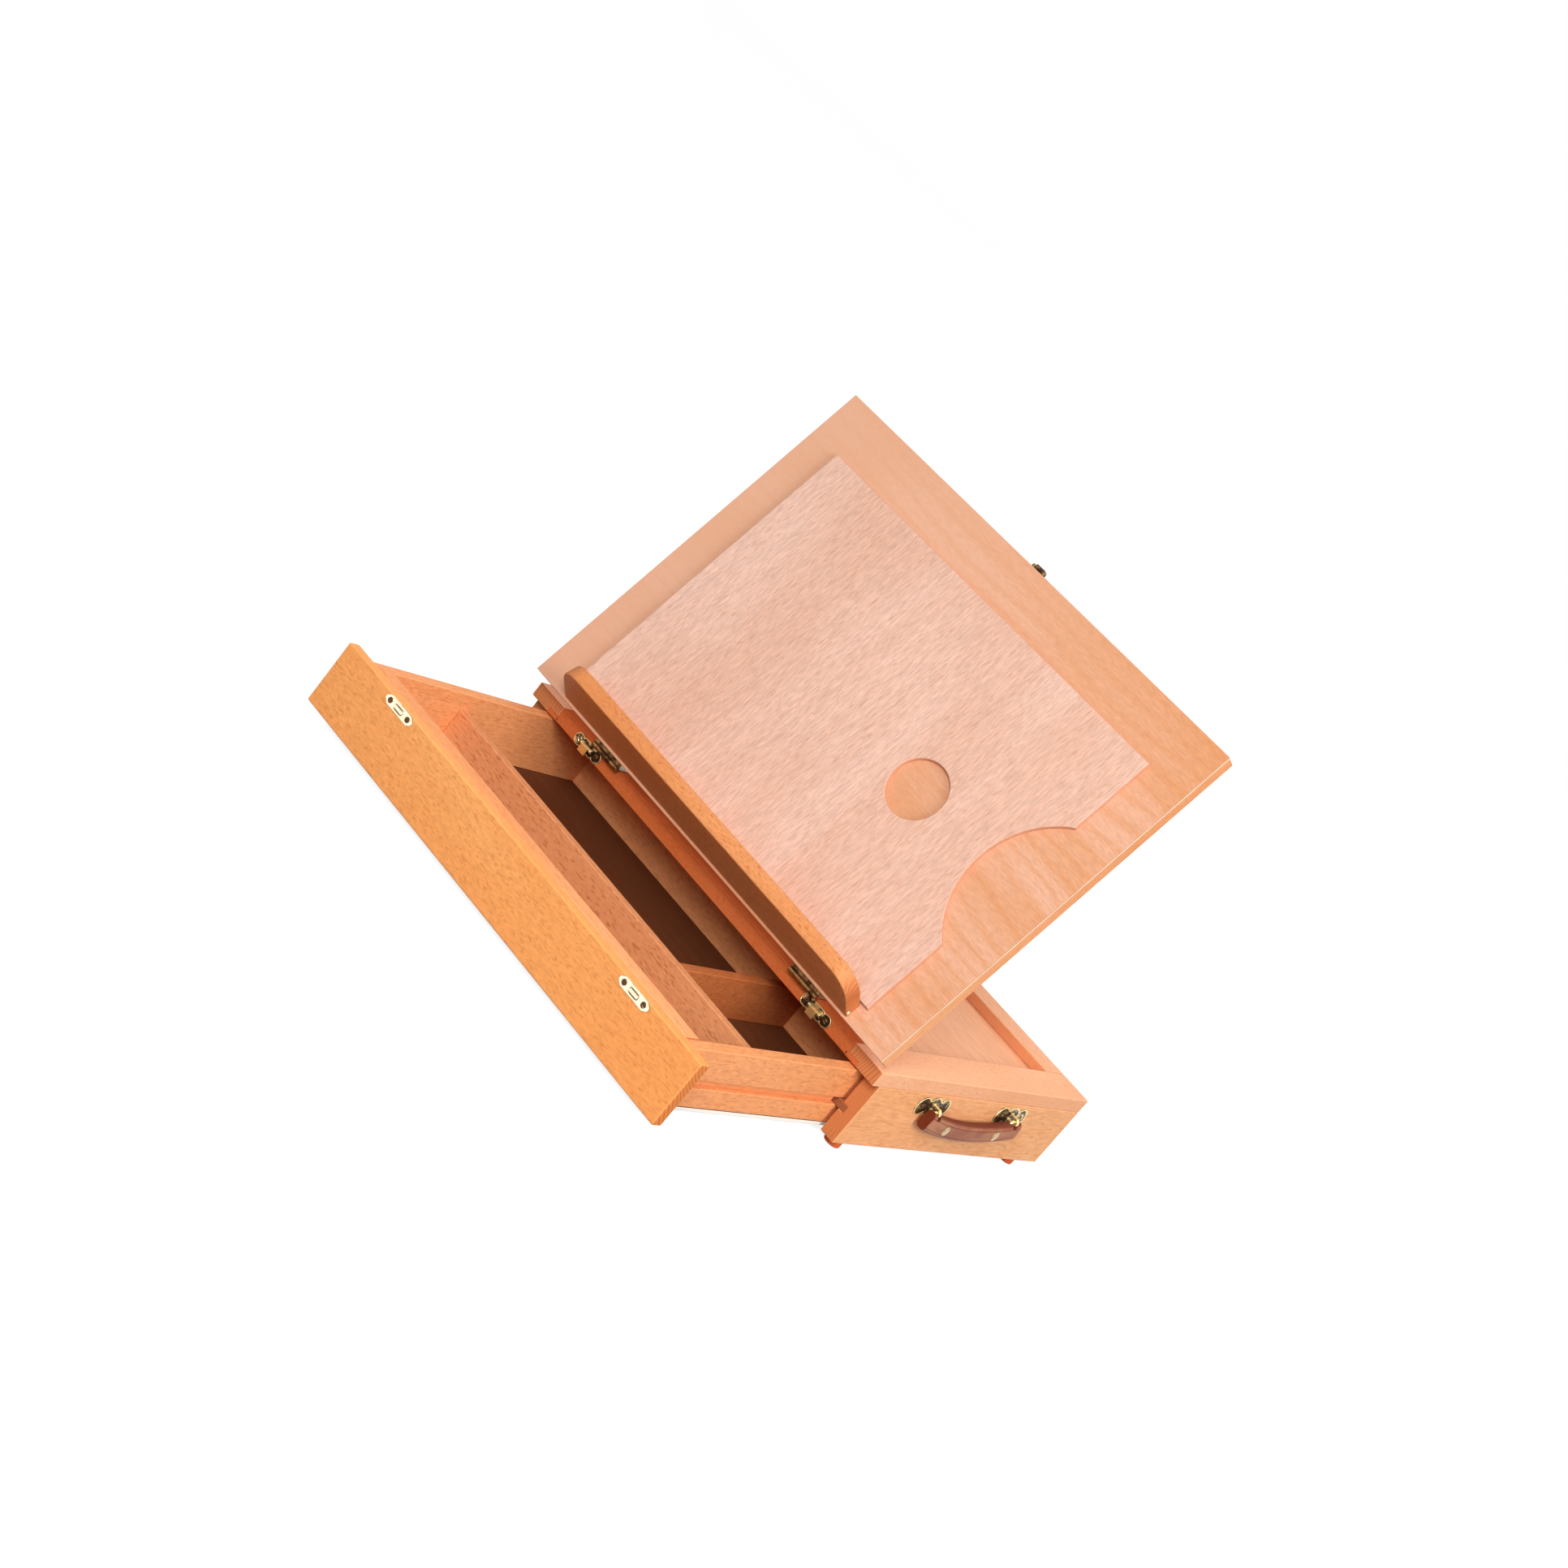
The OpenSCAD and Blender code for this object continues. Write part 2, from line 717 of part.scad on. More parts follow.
module ledge_plan() {
    heel = ledge_t / tan(ledge_angle) + cut;
    translate([-ledge_w / 2, -heel]) square([ledge_w, ledge_d - ledge_r + heel]);
    translate([-ledge_w / 2 + ledge_r, 0]) square([ledge_w - 2 * ledge_r, ledge_d]);
    for (side = [-1, 1]) translate([side * (ledge_w / 2 - ledge_r), ledge_d - ledge_r])
        circle(r = ledge_r);
}
module canvas_ledge() color(beech) opened() difference() {
    translate([ledge_shift, ledge_y, face_top]) rotate([ledge_angle, 0, 0])
        translate([0, 0, -ledge_t]) linear_extrude(ledge_t) ledge_plan();
    wide_box(half_w + ledge_w, case_front - 2 * ledge_d, case_rear, face_top - 2 * ledge_d, face_top);
}

module ledge_pins() color(brass) opened() {
    for (side = [-1, 1])
        translate([ledge_shift + side * (ledge_w / 2 + ledge_pin_h / 2), ledge_y + 2 * ledge_pin_r,
                   face_top + 2 * ledge_pin_r])
            rod_x(ledge_pin_r, ledge_pin_h);
}

module palette() color(pale_ply) opened()
    translate([palette_shift - palette_w / 2, palette_y, face_top])
        linear_extrude(palette_t) difference() {
            square([palette_w, palette_d]);
            translate([palette_w - thumb_in, palette_d / 2]) circle(d = thumb_d, $fn = 72);
            translate([palette_w + scoop_out, palette_d / 2]) circle(r = scoop_r, $fn = 96);
        }

// ---- Prop frame behind the panel ----

module prop_leg(side) {
    prop_place() translate([side * leg_x, 0, 0]) difference() {
        union() {
            for (y = [0, foot_bar_y]) translate([0, y, 0]) rod_x(leg_t / 2, leg_w);
            translate([-leg_w / 2, 0, -leg_t / 2]) cube([leg_w, foot_bar_y, leg_t]);
        }
        rod_x(prop_pin_r + run_gap, leg_w + 2 * cut);
    }
}
module prop_leg_left() color(beech) prop_leg(-1);
module prop_leg_right() color(beech) prop_leg(1);

module prop_crossbar() color(beech) prop_place()
    translate([0, crossbar_at, 0]) rod_x(crossbar_r, prop_w - leg_w);
module prop_foot_bar() color(beech) prop_place()
    translate([0, foot_bar_y, 0]) rod_x(leg_t / 2, prop_w - leg_w);

module prop_block(flip) {
    opened() sided(flip) difference() {
        box([block_in, prop_y - block_d / 2, frame_top - block_h],
            [block_in + block_w, prop_y + block_d / 2, frame_top]);
        translate([block_in, prop_y, prop_z]) rod_x(prop_pin_r, 3 * block_w);
    }
}
module prop_block_left() color(beech_dark) prop_block(true);
module prop_block_right() color(beech_dark) prop_block(false);

module prop_pins() color(brass) opened() {
    pin_len = leg_w + block_gap + block_w;
    for (side = [-1, 1])
        translate([side * (leg_x - leg_w / 2 + pin_len / 2), prop_y, prop_z])
            rod_x(prop_pin_r, pin_len);
}

case_side_left();
case_side_right();
case_back();
runner_left();
runner_right();
feet();
top_rail_left();
top_rail_right();
top_rail_front();
top_rail_rear();
deck_board();
clasp_base_left();
clasp_base_right();
clasp_hook_left();
clasp_hook_right();
catch_keeper();
case_leaf_left();
case_leaf_right();
hinge_pin_left();
hinge_pin_right();
bracket_front();
bracket_rear();
case_screws();
handle_strap();
handle_ring_front();
handle_ring_rear();
handle_rivets();
drawer_front();
drawer_inner_front();
drawer_side_left();
drawer_side_right();
drawer_back();
drawer_bottom();
long_divider();
cross_divider();
keeper_left();
keeper_right();
keeper_screws();
panel_board();
panel_frame_left();
panel_frame_right();
panel_frame_bottom();
panel_frame_top();
canvas_ledge();
ledge_pins();
panel_leaf_left();
panel_leaf_right();
catch_base();
catch_hook();
panel_screws();
palette();
prop_leg_left();
prop_leg_right();
prop_crossbar();
prop_foot_bar();
prop_block_left();
prop_block_right();
prop_pins();
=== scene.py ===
import json
import math
import bmesh
import bpy
import numpy as np
from mathutils import Matrix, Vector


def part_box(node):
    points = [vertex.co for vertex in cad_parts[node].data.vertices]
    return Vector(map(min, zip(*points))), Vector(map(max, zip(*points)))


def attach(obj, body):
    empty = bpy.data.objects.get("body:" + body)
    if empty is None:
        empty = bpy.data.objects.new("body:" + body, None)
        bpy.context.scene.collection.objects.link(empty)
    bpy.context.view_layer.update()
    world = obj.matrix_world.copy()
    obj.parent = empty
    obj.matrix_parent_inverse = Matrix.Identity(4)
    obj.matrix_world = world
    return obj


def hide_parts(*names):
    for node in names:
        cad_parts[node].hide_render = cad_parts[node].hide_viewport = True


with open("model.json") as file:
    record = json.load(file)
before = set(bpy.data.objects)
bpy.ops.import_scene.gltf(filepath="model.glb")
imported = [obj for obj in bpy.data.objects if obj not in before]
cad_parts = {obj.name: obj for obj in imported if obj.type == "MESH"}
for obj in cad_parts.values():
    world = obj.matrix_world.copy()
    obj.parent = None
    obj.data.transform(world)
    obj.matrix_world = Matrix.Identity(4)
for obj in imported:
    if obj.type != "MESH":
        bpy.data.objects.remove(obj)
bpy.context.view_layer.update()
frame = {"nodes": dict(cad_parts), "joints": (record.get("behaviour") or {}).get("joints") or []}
nodes = frame["nodes"]
joints = {joint["name"]: joint for joint in frame["joints"]}
mm = 0.001


# Objects and the camera

viewpoint = {
    "lens": 68.2808, "sensor": 36, "farthest": 50,
    "place": (1.01042, -1.87106, 0.6751),
    "right": (0.587795, 0.529325, 0.611811),
    "up": (-0.645243, -0.149451, 0.749217),
    "back": (0.488015, -0.835152, 0.253697),
}


def addObject(name, data):
    thing = bpy.data.objects.new(name, data)
    bpy.context.scene.collection.objects.link(thing)
    return thing


# Turns an object to its own right, up and back, and moves it to a place
def setAxes(thing, right, up, back, place):
    axes = np.eye(4)
    axes[:3] = np.stack([right, up, back, place], 1)
    thing.matrix_world = Matrix(axes.tolist())


def addCamera():
    data = bpy.data.cameras.new("camera")
    data.lens = viewpoint["lens"]
    data.sensor_width = viewpoint["sensor"]
    data.clip_end = viewpoint["farthest"]
    camera = addObject("camera", data)
    setAxes(camera, *(viewpoint[key] for key in ("right", "up", "back", "place")))
    bpy.context.scene.camera = camera


addCamera()


# Node helpers

# Each input gets its value, or a link where the value is another node's socket
def fillInputs(tree, node, inputs):
    for key, value in inputs.items():
        if isinstance(value, bpy.types.NodeSocket):
            tree.links.new(value, node.inputs[key])
        else:
            node.inputs[key].default_value = value


def addNode(tree, kind, inputs=None, **settings):
    node = tree.nodes.new("ShaderNode" + kind)
    for key, value in settings.items():
        setattr(node, key, value)
    fillInputs(tree, node, inputs or {})
    return node


def sums(tree, operation, first, second=0.0, clamp=False):
    return addNode(tree, "Math", {0: first, 1: second}, operation=operation, use_clamp=clamp).outputs[0]


def times(tree, first, second, clamp=False):
    return sums(tree, "MULTIPLY", first, second, clamp)


def plus(tree, first, second):
    return sums(tree, "ADD", first, second)


def less(tree, first, second):
    return sums(tree, "SUBTRACT", first, second)


# A smooth step from fromValue at low to toValue at high
def ramped(tree, value, low, high, fromValue=0.0, toValue=1.0):
    node = addNode(tree, "MapRange", {"Value": value, "From Min": low, "From Max": high,
                                      "To Min": fromValue, "To Max": toValue},
                   interpolation_type="SMOOTHSTEP")
    return node.outputs["Result"]


# The first colour where the factor is zero, the second where it is one
def blended(tree, factor, first, second):
    return addNode(tree, "Mix", {0: factor, 6: first, 7: second}, data_type="RGBA").outputs[2]


def stretched(tree, vector, stretch):
    return addNode(tree, "VectorMath", {0: vector, 1: stretch}, operation="MULTIPLY").outputs[0]


# Noise on a vector, stretched first where a stretch is given
def noised(tree, vector, stretch=None, detail=2.0, roughness=0.5, distortion=0.0):
    place = vector if stretch is None else stretched(tree, vector, stretch)
    return addNode(tree, "TexNoise", {"Vector": place, "Scale": 1.0, "Detail": detail,
                                      "Roughness": roughness, "Distortion": distortion}).outputs[0]


# A group's tree, its input sockets and its output node
def newGroup(name, inputs, outputs=("Color", "Roughness", "Height")):
    tree = bpy.data.node_groups.new(name, "ShaderNodeTree")
    for kind, labels in inputs.items():
        for label in labels:
            tree.interface.new_socket(label, in_out="INPUT", socket_type="NodeSocket" + kind)
    for label in outputs:
        kind = "Color" if label == "Color" else "Float"
        tree.interface.new_socket(label, in_out="OUTPUT", socket_type="NodeSocket" + kind)
    return tree, tree.nodes.new("NodeGroupInput").outputs, tree.nodes.new("NodeGroupOutput")


# Colour levels out of 255, turned into linear light
def tone(levels):
    shares = np.array(levels) / 255
    linear = np.where(shares <= 0.04045, shares / 12.92, ((shares + 0.055) / 1.055) ** 2.4)
    return (*linear.tolist(), 1.0)


woodGrain = {"drift": 0.05, "sway": 0.05, "bandShare": 0.55, "cloudShare": 0.6, "fibreShare": 0.16,
             "endRings": 360.0, "endShare": 0.85, "paleShare": 0.3, "darkShare": -1.0}


# Wood: growth rings round a tree's heart along X, short dark flecks, fine fibres, darker ends
def makeWoodGroup():
    tree, start, end = newGroup("beechGrain", {
        "Vector": ("Grain", "Fleck Stretch"), "Color": ("Base", "Band", "Fleck", "End"),
        "Float": ("Ends", "Edge", "Fleck Amount", "Stroke Amount", "Ring Amount", "Ring Count")})
    grain = start["Grain"]
    parts = addNode(tree, "SeparateXYZ", {0: grain}).outputs
    sway = noised(tree, grain, (4.0, 11.0, 11.0), distortion=0.4)
    # distance from the tree's heart, which wanders along the board
    across = plus(tree, parts[1], times(tree, parts[0], woodGrain["drift"]))
    squares = plus(tree, times(tree, across, across), times(tree, parts[2], parts[2]))
    heart = plus(tree, sums(tree, "SQRT", squares), times(tree, sway, woodGrain["sway"]))
    turns = sums(tree, "PINGPONG", times(tree, heart, start["Ring Count"]), 0.5)
    ring = times(tree, ramped(tree, turns, 0.2, 0.5), start["Ring Amount"])
    band = ramped(tree, noised(tree, grain, (3.0, 24.0, 24.0), 3.0, distortion=0.4), 0.36, 0.64)
    cloud = noised(tree, grain, (5.0, 9.0, 9.0), 1.0)
    fibre = noised(tree, grain, (120.0, 2400.0, 2400.0))
    flecks = stretched(tree, grain, start["Fleck Stretch"])
    spots = noised(tree, flecks, detail=0.0)
    fleck = times(tree, ramped(tree, spots, 0.62, 0.73), start["Fleck Amount"])
    stroke = noised(tree, flecks, (0.75, 0.6, 0.6), roughness=0.6)
    color = blended(tree, times(tree, band, woodGrain["bandShare"]), start["Base"], start["Band"])
    clouds = ramped(tree, cloud, 0.42, 0.66, 0.0, woodGrain["cloudShare"])
    color = blended(tree, clouds, color, start["Band"])
    color = blended(tree, ring, color, start["Band"])
    # strokes lighten and darken the surface by turns
    swing = times(tree, less(tree, stroke, 0.5), start["Stroke Amount"])
    color = addNode(tree, "VectorMath", {0: color, "Scale": less(tree, 1.0, swing)},
                    operation="SCALE").outputs[0]
    color = blended(tree, fleck, color, start["Fleck"])
    fibres = ramped(tree, fibre, 0.35, 0.7, 0.0, woodGrain["fibreShare"])
    color = blended(tree, fibres, color, start["Fleck"])
    # end grain shows the rings as stripes
    stripes = sums(tree, "PINGPONG", times(tree, heart, woodGrain["endRings"]), 0.5)
    stripes = times(tree, ramped(tree, stripes, 0.12, 0.42), woodGrain["endShare"])
    ends = blended(tree, stripes, start["End"], start["Fleck"])
    color = blended(tree, start["Ends"], color, ends)
    # above zero the Edge mask pales the wood; below zero it darkens it, which paints shade on the rear
    # rail's wall
    for share, other in (("paleShare", "Base"), ("darkShare", "Fleck")):
        amount = times(tree, start["Edge"], woodGrain[share], clamp=True)
        color = blended(tree, amount, color, start[other])
    rough = plus(tree, times(tree, fibre, 0.14), 0.45)
    height = less(tree, less(tree, times(tree, fibre, 0.4), fleck), times(tree, swing, 2.0))
    fillInputs(tree, end, {"Color": color, "Height": height,
                           "Roughness": plus(tree, rough, times(tree, start["Ends"], 0.15))})
    return tree


# Plywood seen on its edge: a pale core between two thin face veneers
def makePlyGroup():
    tree, start, end = newGroup("plyEdge", {
        "Vector": ("Grain",), "Color": ("Face", "Core", "Veneer"), "Float": ("Sheet Edge", "Core Half")},
        ("Color",))
    depth = sums(tree, "ABSOLUTE", addNode(tree, "SeparateXYZ", {0: start["Grain"]}).outputs[2])
    core = ramped(tree, sums(tree, "DIVIDE", depth, start["Core Half"]), 1.08, 0.92)
    streak = noised(tree, start["Grain"], (70.0, 70.0, 1800.0))
    pale = blended(tree, ramped(tree, streak, 0.45, 0.75, 0.0, 0.35), start["Core"], start["Veneer"])
    edge = blended(tree, core, start["Veneer"], pale)
    fillInputs(tree, end, {"Color": blended(tree, start["Sheet Edge"], start["Face"], edge)})
    return tree


# Brass: patches of dark patina, rubbed bright where the piece is handled
def makeBrassGroup():
    tree, start, end = newGroup("agedBrass", {
        "Vector": ("Vector",), "Color": ("Bright", "Patina"), "Float": ("Rub", "Patina Amount")})
    patch = noised(tree, start["Vector"], (190.0, 190.0, 190.0), 3.0)
    speck = noised(tree, start["Vector"], (1900.0, 1900.0, 1900.0))
    level = plus(tree, patch, times(tree, speck, 0.16))
    shift = less(tree, start["Patina Amount"], times(tree, start["Rub"], 0.75))
    dark = ramped(tree, plus(tree, level, shift), 0.92, 1.18)
    fillInputs(tree, end, {"Color": blended(tree, dark, start["Bright"], start["Patina"]),
                           "Roughness": plus(tree, times(tree, dark, 0.2), times(tree, speck, 0.5)),
                           "Height": plus(tree, patch, times(tree, speck, 0.4))})
    return tree


# Leather: x runs along the strap, y across its height, z through its thickness
def makeLeatherGroup():
    tree, start, end = newGroup("strapLeather", {
        "Vector": ("Grain",), "Color": ("Face", "Worn", "Cut"), "Float": ("Edge", "Crease At")})
    grain = start["Grain"]
    height = addNode(tree, "SeparateXYZ", {0: grain}).outputs[1]
    cloud = noised(tree, grain, (45.0, 90.0, 90.0), 3.0)
    pebble = addNode(tree, "TexVoronoi", {"Vector": stretched(tree, grain, (1500.0, 1500.0, 1500.0)),
                                          "Scale": 1.0}, feature="SMOOTH_F1").outputs["Distance"]
    # the pressed lines lie at one distance either side of the strap's middle
    away = sums(tree, "ABSOLUTE", less(tree, sums(tree, "ABSOLUTE", height), start["Crease At"]))
    crease = ramped(tree, away, 0.6 * mm, 0.1 * mm)
    color = blended(tree, ramped(tree, cloud, 0.35, 0.7), start["Face"], start["Worn"])
    color = blended(tree, times(tree, crease, 0.6), color, start["Cut"])
    fillInputs(tree, end, {"Color": blended(tree, start["Edge"], color, start["Cut"]),
                           "Roughness": plus(tree, times(tree, cloud, 0.2), 0.36),
                           "Height": less(tree, times(tree, pebble, 0.3), crease)})
    return tree


woodGroup = makeWoodGroup()
plyGroup = makePlyGroup()
brassGroup = makeBrassGroup()
leatherGroup = makeLeatherGroup()
print("shader groups made")


# Finishes

woodLooks = {  # base, band, fleck and end grain; stretch along and across; flecks, strokes and
               # rings from 0 to 1; rings in a metre
    "case_wood": ((246, 182, 130), (238, 166, 110), (206, 122, 72), (188, 114, 68),
                  (120, 700), 0.3, 0.5, 0.4, 170),
    "rail_wood": ((247, 184, 143), (240, 170, 124), (210, 128, 80), (186, 112, 66),
                  (230, 1300), 0.3, 0.3, 0.2, 170),
    "deck_ply": ((247, 186, 146), (240, 172, 128), (216, 138, 92), (214, 134, 82),
                 (70, 460), 0.2, 0.4, 0.3, 90),
    "runner_wood": ((196, 124, 80), (170, 104, 66), (140, 80, 50), (150, 90, 58),
                    (230, 1300), 0.4, 0.4, 0.3, 170),
    "foot_wood": ((214, 104, 58), (190, 84, 44), (150, 62, 34), (206, 96, 52),
                  (260, 1300), 0.4, 0.5, 0.3, 170),
    "front_wood": ((248, 172, 103), (243, 157, 88), (196, 106, 50), (218, 134, 72),
                   (220, 950), 0.34, 0.45, 0.12, 120),
    "drawer_wood": ((243, 169, 114), (233, 152, 96), (200, 112, 62), (208, 126, 74),
                    (190, 820), 0.4, 0.5, 0.3, 150),
    "divider_wood": ((227, 154, 105), (216, 138, 90), (172, 94, 52), (198, 114, 66),
                     (190, 820), 0.5, 0.5, 0.15, 150),
    "cross_wood": ((196, 115, 66), (182, 101, 54), (142, 76, 40), (176, 98, 54),
                   (190, 820), 0.5, 0.5, 0.25, 150),
    "panel_ply": ((219, 168, 139), (207, 139, 87), (200, 124, 80), (226, 150, 98),
                  (180, 900), 0.25, 0.42, 0.4, 75),
    "frame_wood": ((238, 168, 118), (228, 152, 100), (200, 118, 70), (208, 128, 78),
                   (230, 1300), 0.35, 0.35, 0.3, 170),
    "ledge_wood": ((221, 149, 96), (210, 132, 77), (172, 92, 48), (196, 116, 68),
                   (220, 1200), 0.5, 0.5, 0.25, 150),
    "palette_ply": ((224, 186, 168), (213, 165, 141), (194, 138, 110), (222, 158, 116),
                    (170, 1250), 0.45, 0.75, 0.05, 75),
    # partly painted shade: the drawer bottom's face is its own reddish-brown ply, darkened further to
    # stand for the shade on the drawer floor
    "thin_ply": ((114, 65, 38), (98, 53, 30), (84, 46, 27), (240, 220, 196),
                 (230, 1300), 0.3, 0.4, 0.5, 60),
    # painted shade: a darker, redder copy of rail_wood for the front rail, whose face lies in the ledge's
    # shade
    "front_rail_painted_shade": ((214, 118, 68), (198, 99, 51), (170, 80, 40), (206, 128, 78),
                   (220, 1300), 0.4, 0.5, 0.3, 150),
    "prop_wood": ((240, 170, 118), (230, 154, 100), (202, 118, 70), (208, 128, 78),
                  (220, 1200), 0.4, 0.4, 0.3, 150),
}
woodGloss = {"front_rail_painted_shade": 0.0}  # the others have 0.1
plyLooks = {  # core, veneer, half of the core's thickness
    "panel_ply": ((255, 236, 208), (200, 126, 78), 0.8 * mm),
    "palette_ply": ((208, 142, 96), (186, 112, 68), 1.0 * mm),
    "thin_ply": ((250, 244, 234), (250, 240, 226), 1.0 * mm),
}
metalLooks = {  # bright, patina, how much patina
    "dark_brass": ((244, 218, 156), (62, 40, 20), 0.56),
    "bright_brass": ((250, 236, 204), (88, 58, 28), 0.55),
    "hinge_brass": ((168, 128, 76), (78, 50, 28), 0.5),
    "catch_brass": ((150, 116, 66), (46, 30, 16), 0.66),
    "hook_brass": ((232, 192, 122), (82, 52, 26), 0.52),
    "rivet_brass": ((186, 160, 116), (120, 84, 54), 0.5),
}
leatherLook = {"face": (146, 82, 57), "worn": (178, 118, 85), "cut": (102, 42, 20), "creaseAt": 4.4 * mm}
bumpDepth = {"wood": 0.12 * mm, "brass": 0.08 * mm, "leather": 0.1 * mm}
onNodes = {"heart": (0.31, 0.04, 0.03), "rub": 0.05}


def newMaterial(name, onNode=False):
    material = bpy.data.materials.new(name + ("_node" if onNode else ""))
    material.use_nodes = True
    material.node_tree.nodes.clear()
    return material, material.node_tree


def attribute(tree, name):
    node = addNode(tree, "Attribute", attribute_name=name)
    return node.outputs["Vector" if name == "grain" else "Fac"]


# The surface shader on a group's colour and roughness, with its height as a bump
def coverSurface(tree, layers, color, depth, shader):
    bump = addNode(tree, "Bump", {"Strength": 0.5, "Distance": depth, "Height": layers["Height"]})
    surface = addNode(tree, "BsdfPrincipled", {"Base Color": color, "Roughness": layers["Roughness"],
                                               "Normal": bump.outputs[0], **shader})
    addNode(tree, "OutputMaterial", {0: surface.outputs[0]})


# With onNode the pattern reads Object coordinates, for a node whose mesh is kept as it is
def woodMaterial(slotName, onNode=False):
    base, band, fleck, end, (along, across), flecks, strokes, rings, ringCount = woodLooks[slotName]
    material, tree = newMaterial(slotName, onNode)
    if onNode:
        place = addNode(tree, "TexCoord").outputs["Object"]
        grain = addNode(tree, "Mapping", {"Vector": place, "Location": onNodes["heart"]}).outputs[0]
        ends, edge = 0.0, 0.0
    else:
        grain, ends, edge = [attribute(tree, name) for name in ("grain", "ends", "edge")]
    isPly = slotName in plyLooks
    wood = addNode(tree, "Group", {
        "Grain": grain, "Ends": 0.0 if isPly else ends, "Edge": edge, "Base": tone(base),
        "Band": tone(band), "Fleck": tone(fleck), "End": tone(end),
        "Fleck Stretch": (along, across, across), "Fleck Amount": flecks, "Stroke Amount": strokes,
        "Ring Amount": rings, "Ring Count": ringCount}, node_tree=woodGroup).outputs
    color = wood["Color"]
    if isPly:
        core, veneer, coreHalf = plyLooks[slotName]
        color = addNode(tree, "Group", {
            "Grain": grain, "Sheet Edge": ends, "Face": color, "Core": tone(core),
            "Veneer": tone(veneer), "Core Half": coreHalf}, node_tree=plyGroup).outputs["Color"]
    gloss = woodGloss.get(slotName, 0.1)
    coverSurface(tree, wood, color, bumpDepth["wood"], {"Specular IOR Level": gloss})
    return material


def brassMaterial(slotName, onNode=False):
    bright, patina, amount = metalLooks[slotName]
    material, tree = newMaterial(slotName, onNode)
    brass = addNode(tree, "Group", {
        "Vector": addNode(tree, "TexCoord").outputs["Object"],
        "Rub": onNodes["rub"] if onNode else attribute(tree, "edge"), "Bright": tone(bright),
        "Patina": tone(patina), "Patina Amount": amount}, node_tree=brassGroup).outputs
    coverSurface(tree, brass, brass["Color"], bumpDepth["brass"], {"Metallic": 0.75})
    return material


def leatherMaterial():
    material, tree = newMaterial("strap_leather")
    leather = addNode(tree, "Group", {
        "Grain": attribute(tree, "grain"), "Edge": attribute(tree, "edge"),
        "Face": tone(leatherLook["face"]), "Worn": tone(leatherLook["worn"]),
        "Cut": tone(leatherLook["cut"]), "Crease At": leatherLook["creaseAt"]},
        node_tree=leatherGroup).outputs
    coverSurface(tree, leather, leather["Color"], bumpDepth["leather"], {"Specular IOR Level": 0.12})
    return material


onlyOnNodes = ("deck_ply", "hinge_brass")
finishes = {look: woodMaterial(look) for look in woodLooks if look not in onlyOnNodes}
finishes.update({look: brassMaterial(look) for look in metalLooks if look not in onlyOnNodes})
finishes["strap_leather"] = leatherMaterial()
nodeFinishes = {look: woodMaterial(look, True) for look in ("deck_ply", "frame_wood", "prop_wood")}
nodeFinishes["bright_brass"] = brassMaterial("hinge_brass", True)
print("finishes made:", len(finishes) + len(nodeFinishes))


# Places: a piece's own axes are a starting point and a turn, whose columns are the axes

flatAxes = (np.zeros(3), np.eye(3))


def turnX(degrees):
    c, s = math.cos(math.radians(degrees)), math.sin(math.radians(degrees))
    return np.array([[1, 0, 0], [0, c, -s], [0, s, c]])


def turnZ(degrees):
    c, s = math.cos(math.radians(degrees)), math.sin(math.radians(degrees))
    return np.array([[c, -s, 0], [s, c, 0], [0, 0, 1]])


def nodePoints(name):
    mesh = nodes[name].data
    points = np.empty(len(mesh.vertices) * 3)
    mesh.vertices.foreach_get("co", points)
    return points.reshape(-1, 3)


def localBox(name, axes=flatAxes):
    start, turn = axes
    points = (nodePoints(name) - start) @ turn
    return points.min(0), points.max(0)


# A node's bounds along an axis, from the easel's middle outwards
def outwards(name, side, axis=0):
    low, high = localBox(name)
    return (low[axis], high[axis])[::side]


# The box round the points on each side of a node's middle
def sideBoxes(points, sides):
    middle = (points.min(0) + points.max(0)) / 2
    for side in sides:
        own = points[(np.sign(points - middle)[:, :len(side)] == side).all(1)]
        yield side, own.min(0), own.max(0)


def jointAt(name):
    return np.array(joints[name]["pos_m"], float)


fourCorners = [(x, y) for x in (-1, 1) for y in (-1, 1)]
panelTilt = -joints["panel_tilt"]["range_deg"][0]
panelAxes = (jointAt("panel_tilt"), turnX(panelTilt))
footBar = nodePoints("prop_foot_bar")
legWay = (footBar.min(0) + footBar.max(0)) / 2 - jointAt("prop_fold")
propAxes = (jointAt("prop_fold"), turnX(math.degrees(math.atan2(legWay[2], legWay[1]))))
touching = 1e-6


# Surfaces: every builder returns a list of shells, each with its points and its faces

# A grid of points joined into quads; closeU and closeV join its last row or column to the first
def gridShell(points, closeU=False, closeV=False):
    rows, columns = points.shape[:2]
    index = np.arange(rows * columns).reshape(rows, columns)
    if closeU:
        index = np.concatenate([index, index[:1]], 0)
    if closeV:
        index = np.concatenate([index, index[:, :1]], 1)
    quads = np.stack([index[:-1, :-1], index[1:, :-1], index[1:, 1:], index[:-1, 1:]], -1)
    return points.reshape(-1, 3), quads.reshape(-1, 4).tolist()


# Rings of points joined one to the next, with a flat cap at each end
def loftShell(rings):
    points, faces = gridShell(rings, closeV=True)
    count = rings.shape[1]
    last = (rings.shape[0] - 1) * count
    faces.append(list(range(count))[::-1])
    faces.append(list(range(last, last + count)))
    return points, faces


